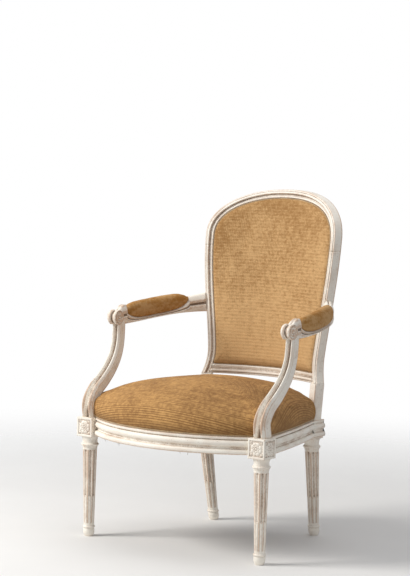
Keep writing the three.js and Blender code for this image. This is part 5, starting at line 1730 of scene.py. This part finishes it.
def make_webs():
    """Webbing under the rails: seven straps woven through each other, with three tacks at each end."""
    from_end, apart, lift = 0.009, 0.015, 0.00030
    middle = {node: np.mean(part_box(node), axis=0) for node in frame["nodes"] if "wise_web" in node}
    lengthwise = sorted((n for n in middle if n.startswith("length")), key=lambda node: middle[node][0])
    crosswise = sorted((n for n in middle if n.startswith("cross")), key=lambda node: middle[node][1])
    tacks = []
    for group, other, axis, first in ((lengthwise, crosswise, 1, 1), (crosswise, lengthwise, 0, -1)):
        crossings = [middle[node][axis] for node in other]
        for number, node in enumerate(group):
            mesh = web_strap(node, axis, crossings, first * (-1) ** number)
            place(node + "_strap", [mesh], jute_material(), "jute", [node])
            low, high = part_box(node)
            for end in (low[axis] + from_end, high[axis] - from_end):
                for shift in (-apart, 0.0, apart):
                    spot = middle[node] + [0, 0, lift]
                    spot[axis] = end
                    spot[1 - axis] += shift
                    tacks.append(tack(*spot))
    place("web_tacks", tacks, steel_material(), "spring_steel")


def make_sacking():
    """Sacking stretched over the springs: flat on the rails, then rising in a dome under the stuffing."""
    seat, thickness = sizes("seat"), 0.0011
    _, drawn, crown = seat_outline(seat.rail_thickness - 0.009, 260)
    under = sacking_line()
    level = np.vstack([under, under[::-1] + [0, thickness]])
    plan = crown + (drawn[None] - crown) * level[:, 0][:, None, None]
    mesh = grid_piece("sacking", lifted(plan, seat.rail_top + 0.0004 + level[:, 1][:, None]))
    area = np.empty(len(mesh.polygons), np.float32)
    mesh.polygons.foreach_get("area", area)
    points = mesh_points(mesh)
    set_map(mesh, points[:, 0], points[:, 1])
    obj = place("seat_sacking", [mesh], jute_material(), "jute", ["seat_hessian"])


def make_fray():
    """Threads of worn sacking that hang from the front rail's lower edge: thin tapering curved tubes."""
    seat = sizes("seat")
    line, _ = front_rail_line(200, 0.016, 0)
    share = np.linspace(0, 1, 14)[:, None]
    angle = np.linspace(0, TAU, 6, endpoint=False)
    radius = 0.00055 * (1 - 0.5 * share)
    top = seat.rail_top - seat.rail_height + 0.0004
    meshes = []
    for x, drop, sway in THREADS:
        y = float(np.interp(x, line[:, 0], line[:, 1]))
        meshes.append(grid_piece("thread", np.stack([
            x + sway * share**2 + radius * np.cos(angle),
            y + 0.3 * sway * np.sin(share * 4) + radius * np.sin(angle),
            top - drop * share + 0 * angle,
        ], axis=-1)))
    place("frayed_threads", meshes, jute_material(), "jute")


def make_under_seat():
    """Webbing, sacking and loose threads, and the finishes of the springs and pegs."""
    make_webs()
    make_sacking()
    make_fray()
    for node, obj in frame["nodes"].items():
        if "spring" in node or "peg" in node:
            obj.data.materials.clear()
            obj.data.materials.append(steel_material() if "spring" in node else beech_material())


# Stage

def camera_axes():
    """The camera's right, up and backward directions from its heading, pitch and roll."""
    heading, pitch, roll = CAMERA_TURN
    level = math.cos(pitch)
    back = np.array([math.sin(heading) * level, -math.cos(heading) * level, math.sin(pitch)])
    right = np.array([math.cos(heading), math.sin(heading), 0.0])
    up = np.cross(back, right)
    right_rolled = right * math.cos(roll) + up * math.sin(roll)
    return right_rolled, up * math.cos(roll) - right * math.sin(roll), back


def make_camera():
    """The camera, fitted to the photographed view."""
    data = bpy.data.cameras.new("camera")
    data.sensor_fit = "VERTICAL"
    data.sensor_height = 36.0
    data.lens = CAMERA_LENS
    camera = bpy.data.objects.new("camera", data)
    bpy.context.scene.collection.objects.link(camera)
    rows = np.column_stack([*camera_axes(), np.array(CAMERA_PLACE) + [0, LEG_Y, 0]]).tolist()
    camera.matrix_world = Matrix(rows + [[0, 0, 0, 1]])
    bpy.context.scene.camera = camera


def make_floor():
    """A pale floor under the chair: it thins out with distance, so that it blends into the white behind."""
    reach, fade_from, fade_to = 3.0, 0.5, 2.6
    corners = [(-reach, -reach, 0), (reach, -reach, 0), (reach, reach, 0), (-reach, reach, 0)]
    mesh = bpy.data.meshes.new("floor")
    mesh.from_pydata(corners, [], [(0, 1, 2, 3)])
    g = Graph("floor")
    place = g.place()
    colour = g.mix(g.noise(place, 3.0, 3.0), (0.80, 0.79, 0.77), (0.86, 0.85, 0.83))
    away = g.node("ShaderNodeVectorMath", {0: place}, operation="LENGTH").outputs["Value"]
    g.finish(colour, 0.8, Alpha=g.steps(away, fade_from, fade_to, 1.0, 0.0))
    mesh.materials.append(g.material)
    floor = bpy.data.objects.new("floor", mesh)
    bpy.context.scene.collection.objects.link(floor)


def make_lights():
    """A large key from the front left, a fill from the right, and a soft top light, aimed at the middle."""
    aim = Vector((0, 0, 0.45))
    for name, spot, side, power, tint in LIGHTS:
        data = bpy.data.lights.new(name, "AREA")
        data.shape = "SQUARE"
        data.size = side
        data.energy = power
        data.color = tint
        light = bpy.data.objects.new(name, data)
        light.location = spot
        light.rotation_euler = (aim - Vector(spot)).to_track_quat("-Z", "Y").to_euler()
        bpy.context.scene.collection.objects.link(light)


def make_world():
    """White behind the chair for the camera, through glass and in gloss; a soft grey light elsewhere."""
    world = bpy.data.worlds.new("studio")
    world.use_nodes = True
    tree = world.node_tree
    tree.nodes.clear()
    rays = tree.nodes.new("ShaderNodeLightPath").outputs
    seen = rays["Is Camera Ray"]
    for kind in ("Is Glossy Ray", "Is Transmission Ray"):
        either = tree.nodes.new("ShaderNodeMath")
        either.operation = "MAXIMUM"
        tree.links.new(seen, either.inputs[0])
        tree.links.new(rays[kind], either.inputs[1])
        seen = either.outputs[0]
    both = tree.nodes.new("ShaderNodeMixShader")
    tree.links.new(seen, both.inputs[0])
    for number, tint, strength in ((1, SOFT_SKY, 0.34), (2, WHITE, 1.0)):
        background = tree.nodes.new("ShaderNodeBackground")
        background.inputs["Color"].default_value = tint
        background.inputs["Strength"].default_value = strength
        tree.links.new(background.outputs[0], both.inputs[number])
    out = tree.nodes.new("ShaderNodeOutputWorld")
    tree.links.new(both.outputs[0], out.inputs["Surface"])
    bpy.context.scene.world = world


# Operators

class ARMCHAIR_OT_legs(bpy.types.Operator):
    """Builds the turned legs with their blocks"""

    bl_idname = "armchair.legs"
    bl_label = "Build Legs"

    def execute(self, context):
        make_front_legs()
        make_rear_legs()
        return {"FINISHED"}


class ARMCHAIR_OT_rails(bpy.types.Operator):
    """Builds the moulded seat rails"""

    bl_idname = "armchair.rails"
    bl_label = "Build Seat Rails"

    def execute(self, context):
        make_front_rail()
        make_side_rails()
        make_rear_rail()
        return {"FINISHED"}


class ARMCHAIR_OT_back_frame(bpy.types.Operator):
    """Builds the arched frame of the back"""

    bl_idname = "armchair.back_frame"
    bl_label = "Build Back Frame"

    def execute(self, context):
        make_crest_rail()
        make_stiles()
        make_bottom_rail()
        return {"FINISHED"}


class ARMCHAIR_OT_arms(bpy.types.Operator):
    """Builds the scrolled arms and their supports"""

    bl_idname = "armchair.arms"
    bl_label = "Build Arms"

    def execute(self, context):
        make_supports()
        make_arms()
        return {"FINISHED"}


class ARMCHAIR_OT_seat(bpy.types.Operator):
    """Builds the stuffed seat with its braid"""

    bl_idname = "armchair.seat"
    bl_label = "Build Seat"

    def execute(self, context):
        make_seat()
        make_seat_gimp()
        return {"FINISHED"}


class ARMCHAIR_OT_back(bpy.types.Operator):
    """Builds the upholstered back with its braid"""

    bl_idname = "armchair.back"
    bl_label = "Build Back"

    def execute(self, context):
        make_back()
        make_back_gimp()
        return {"FINISHED"}


class ARMCHAIR_OT_arm_pads(bpy.types.Operator):
    """Builds the stuffed arm pads"""

    bl_idname = "armchair.arm_pads"
    bl_label = "Build Arm Pads"

    def execute(self, context):
        make_arm_pads()
        return {"FINISHED"}


class ARMCHAIR_OT_under_seat(bpy.types.Operator):
    """Finishes what lies under the seat and the pegs"""

    bl_idname = "armchair.under_seat"
    bl_label = "Finish Under the Seat"

    def execute(self, context):
        make_under_seat()
        return {"FINISHED"}


class ARMCHAIR_OT_stage(bpy.types.Operator):
    """Sets up the floor, the lights, the background and the camera"""

    bl_idname = "armchair.stage"
    bl_label = "Set Up Stage"

    def execute(self, context):
        make_floor()
        make_lights()
        make_world()
        make_camera()
        return {"FINISHED"}


OPERATORS = (
    ARMCHAIR_OT_legs, ARMCHAIR_OT_rails, ARMCHAIR_OT_back_frame, ARMCHAIR_OT_arms, ARMCHAIR_OT_seat,
    ARMCHAIR_OT_back, ARMCHAIR_OT_arm_pads, ARMCHAIR_OT_under_seat, ARMCHAIR_OT_stage,
)

GROUPS = {
    "armchair_seat": SeatFrameSizes,
    "armchair_legs": LegSizes,
    "armchair_back": BackSizes,
    "armchair_arms": ArmSizes,
    "armchair_soft": SoftSizes,
    "armchair_finish": Finishes,
}


class ARMCHAIR_PT_panel(bpy.types.Panel):
    """Every size and finish of the armchair, and a button for each piece"""

    bl_idname = "ARMCHAIR_PT_panel"
    bl_label = "Armchair"
    bl_space_type = "VIEW_3D"
    bl_region_type = "UI"
    bl_category = "Armchair"

    def draw(self, context):
        for operator in OPERATORS:
            self.layout.operator(operator.bl_idname)
        for name in GROUPS:
            box = self.layout.box()
            group = getattr(context.scene, name)
            for key in group.__annotations__:
                box.prop(group, key)


def register():
    """Registers the settings, the operators and the panel."""
    for name, group in GROUPS.items():
        bpy.utils.register_class(group)
        setattr(bpy.types.Scene, name, bpy.props.PointerProperty(type=group))
    for kind in (*OPERATORS, ARMCHAIR_PT_panel):
        bpy.utils.register_class(kind)


def unregister():
    """Takes them away again, the last one first."""
    for kind in (ARMCHAIR_PT_panel, *reversed(OPERATORS)):
        bpy.utils.unregister_class(kind)
    for name, group in reversed(GROUPS.items()):
        delattr(bpy.types.Scene, name)
        bpy.utils.unregister_class(group)


def main():
    """Builds the whole chair and its stage."""
    register()
    bpy.ops.armchair.legs()
    bpy.ops.armchair.rails()
    bpy.ops.armchair.back_frame()
    bpy.ops.armchair.arms()
    bpy.ops.armchair.seat()
    bpy.ops.armchair.back()
    bpy.ops.armchair.arm_pads()
    bpy.ops.armchair.under_seat()
    bpy.ops.armchair.stage()
    bpy.context.scene.view_settings.view_transform = "Standard"


if __name__ == "__main__":
    main()
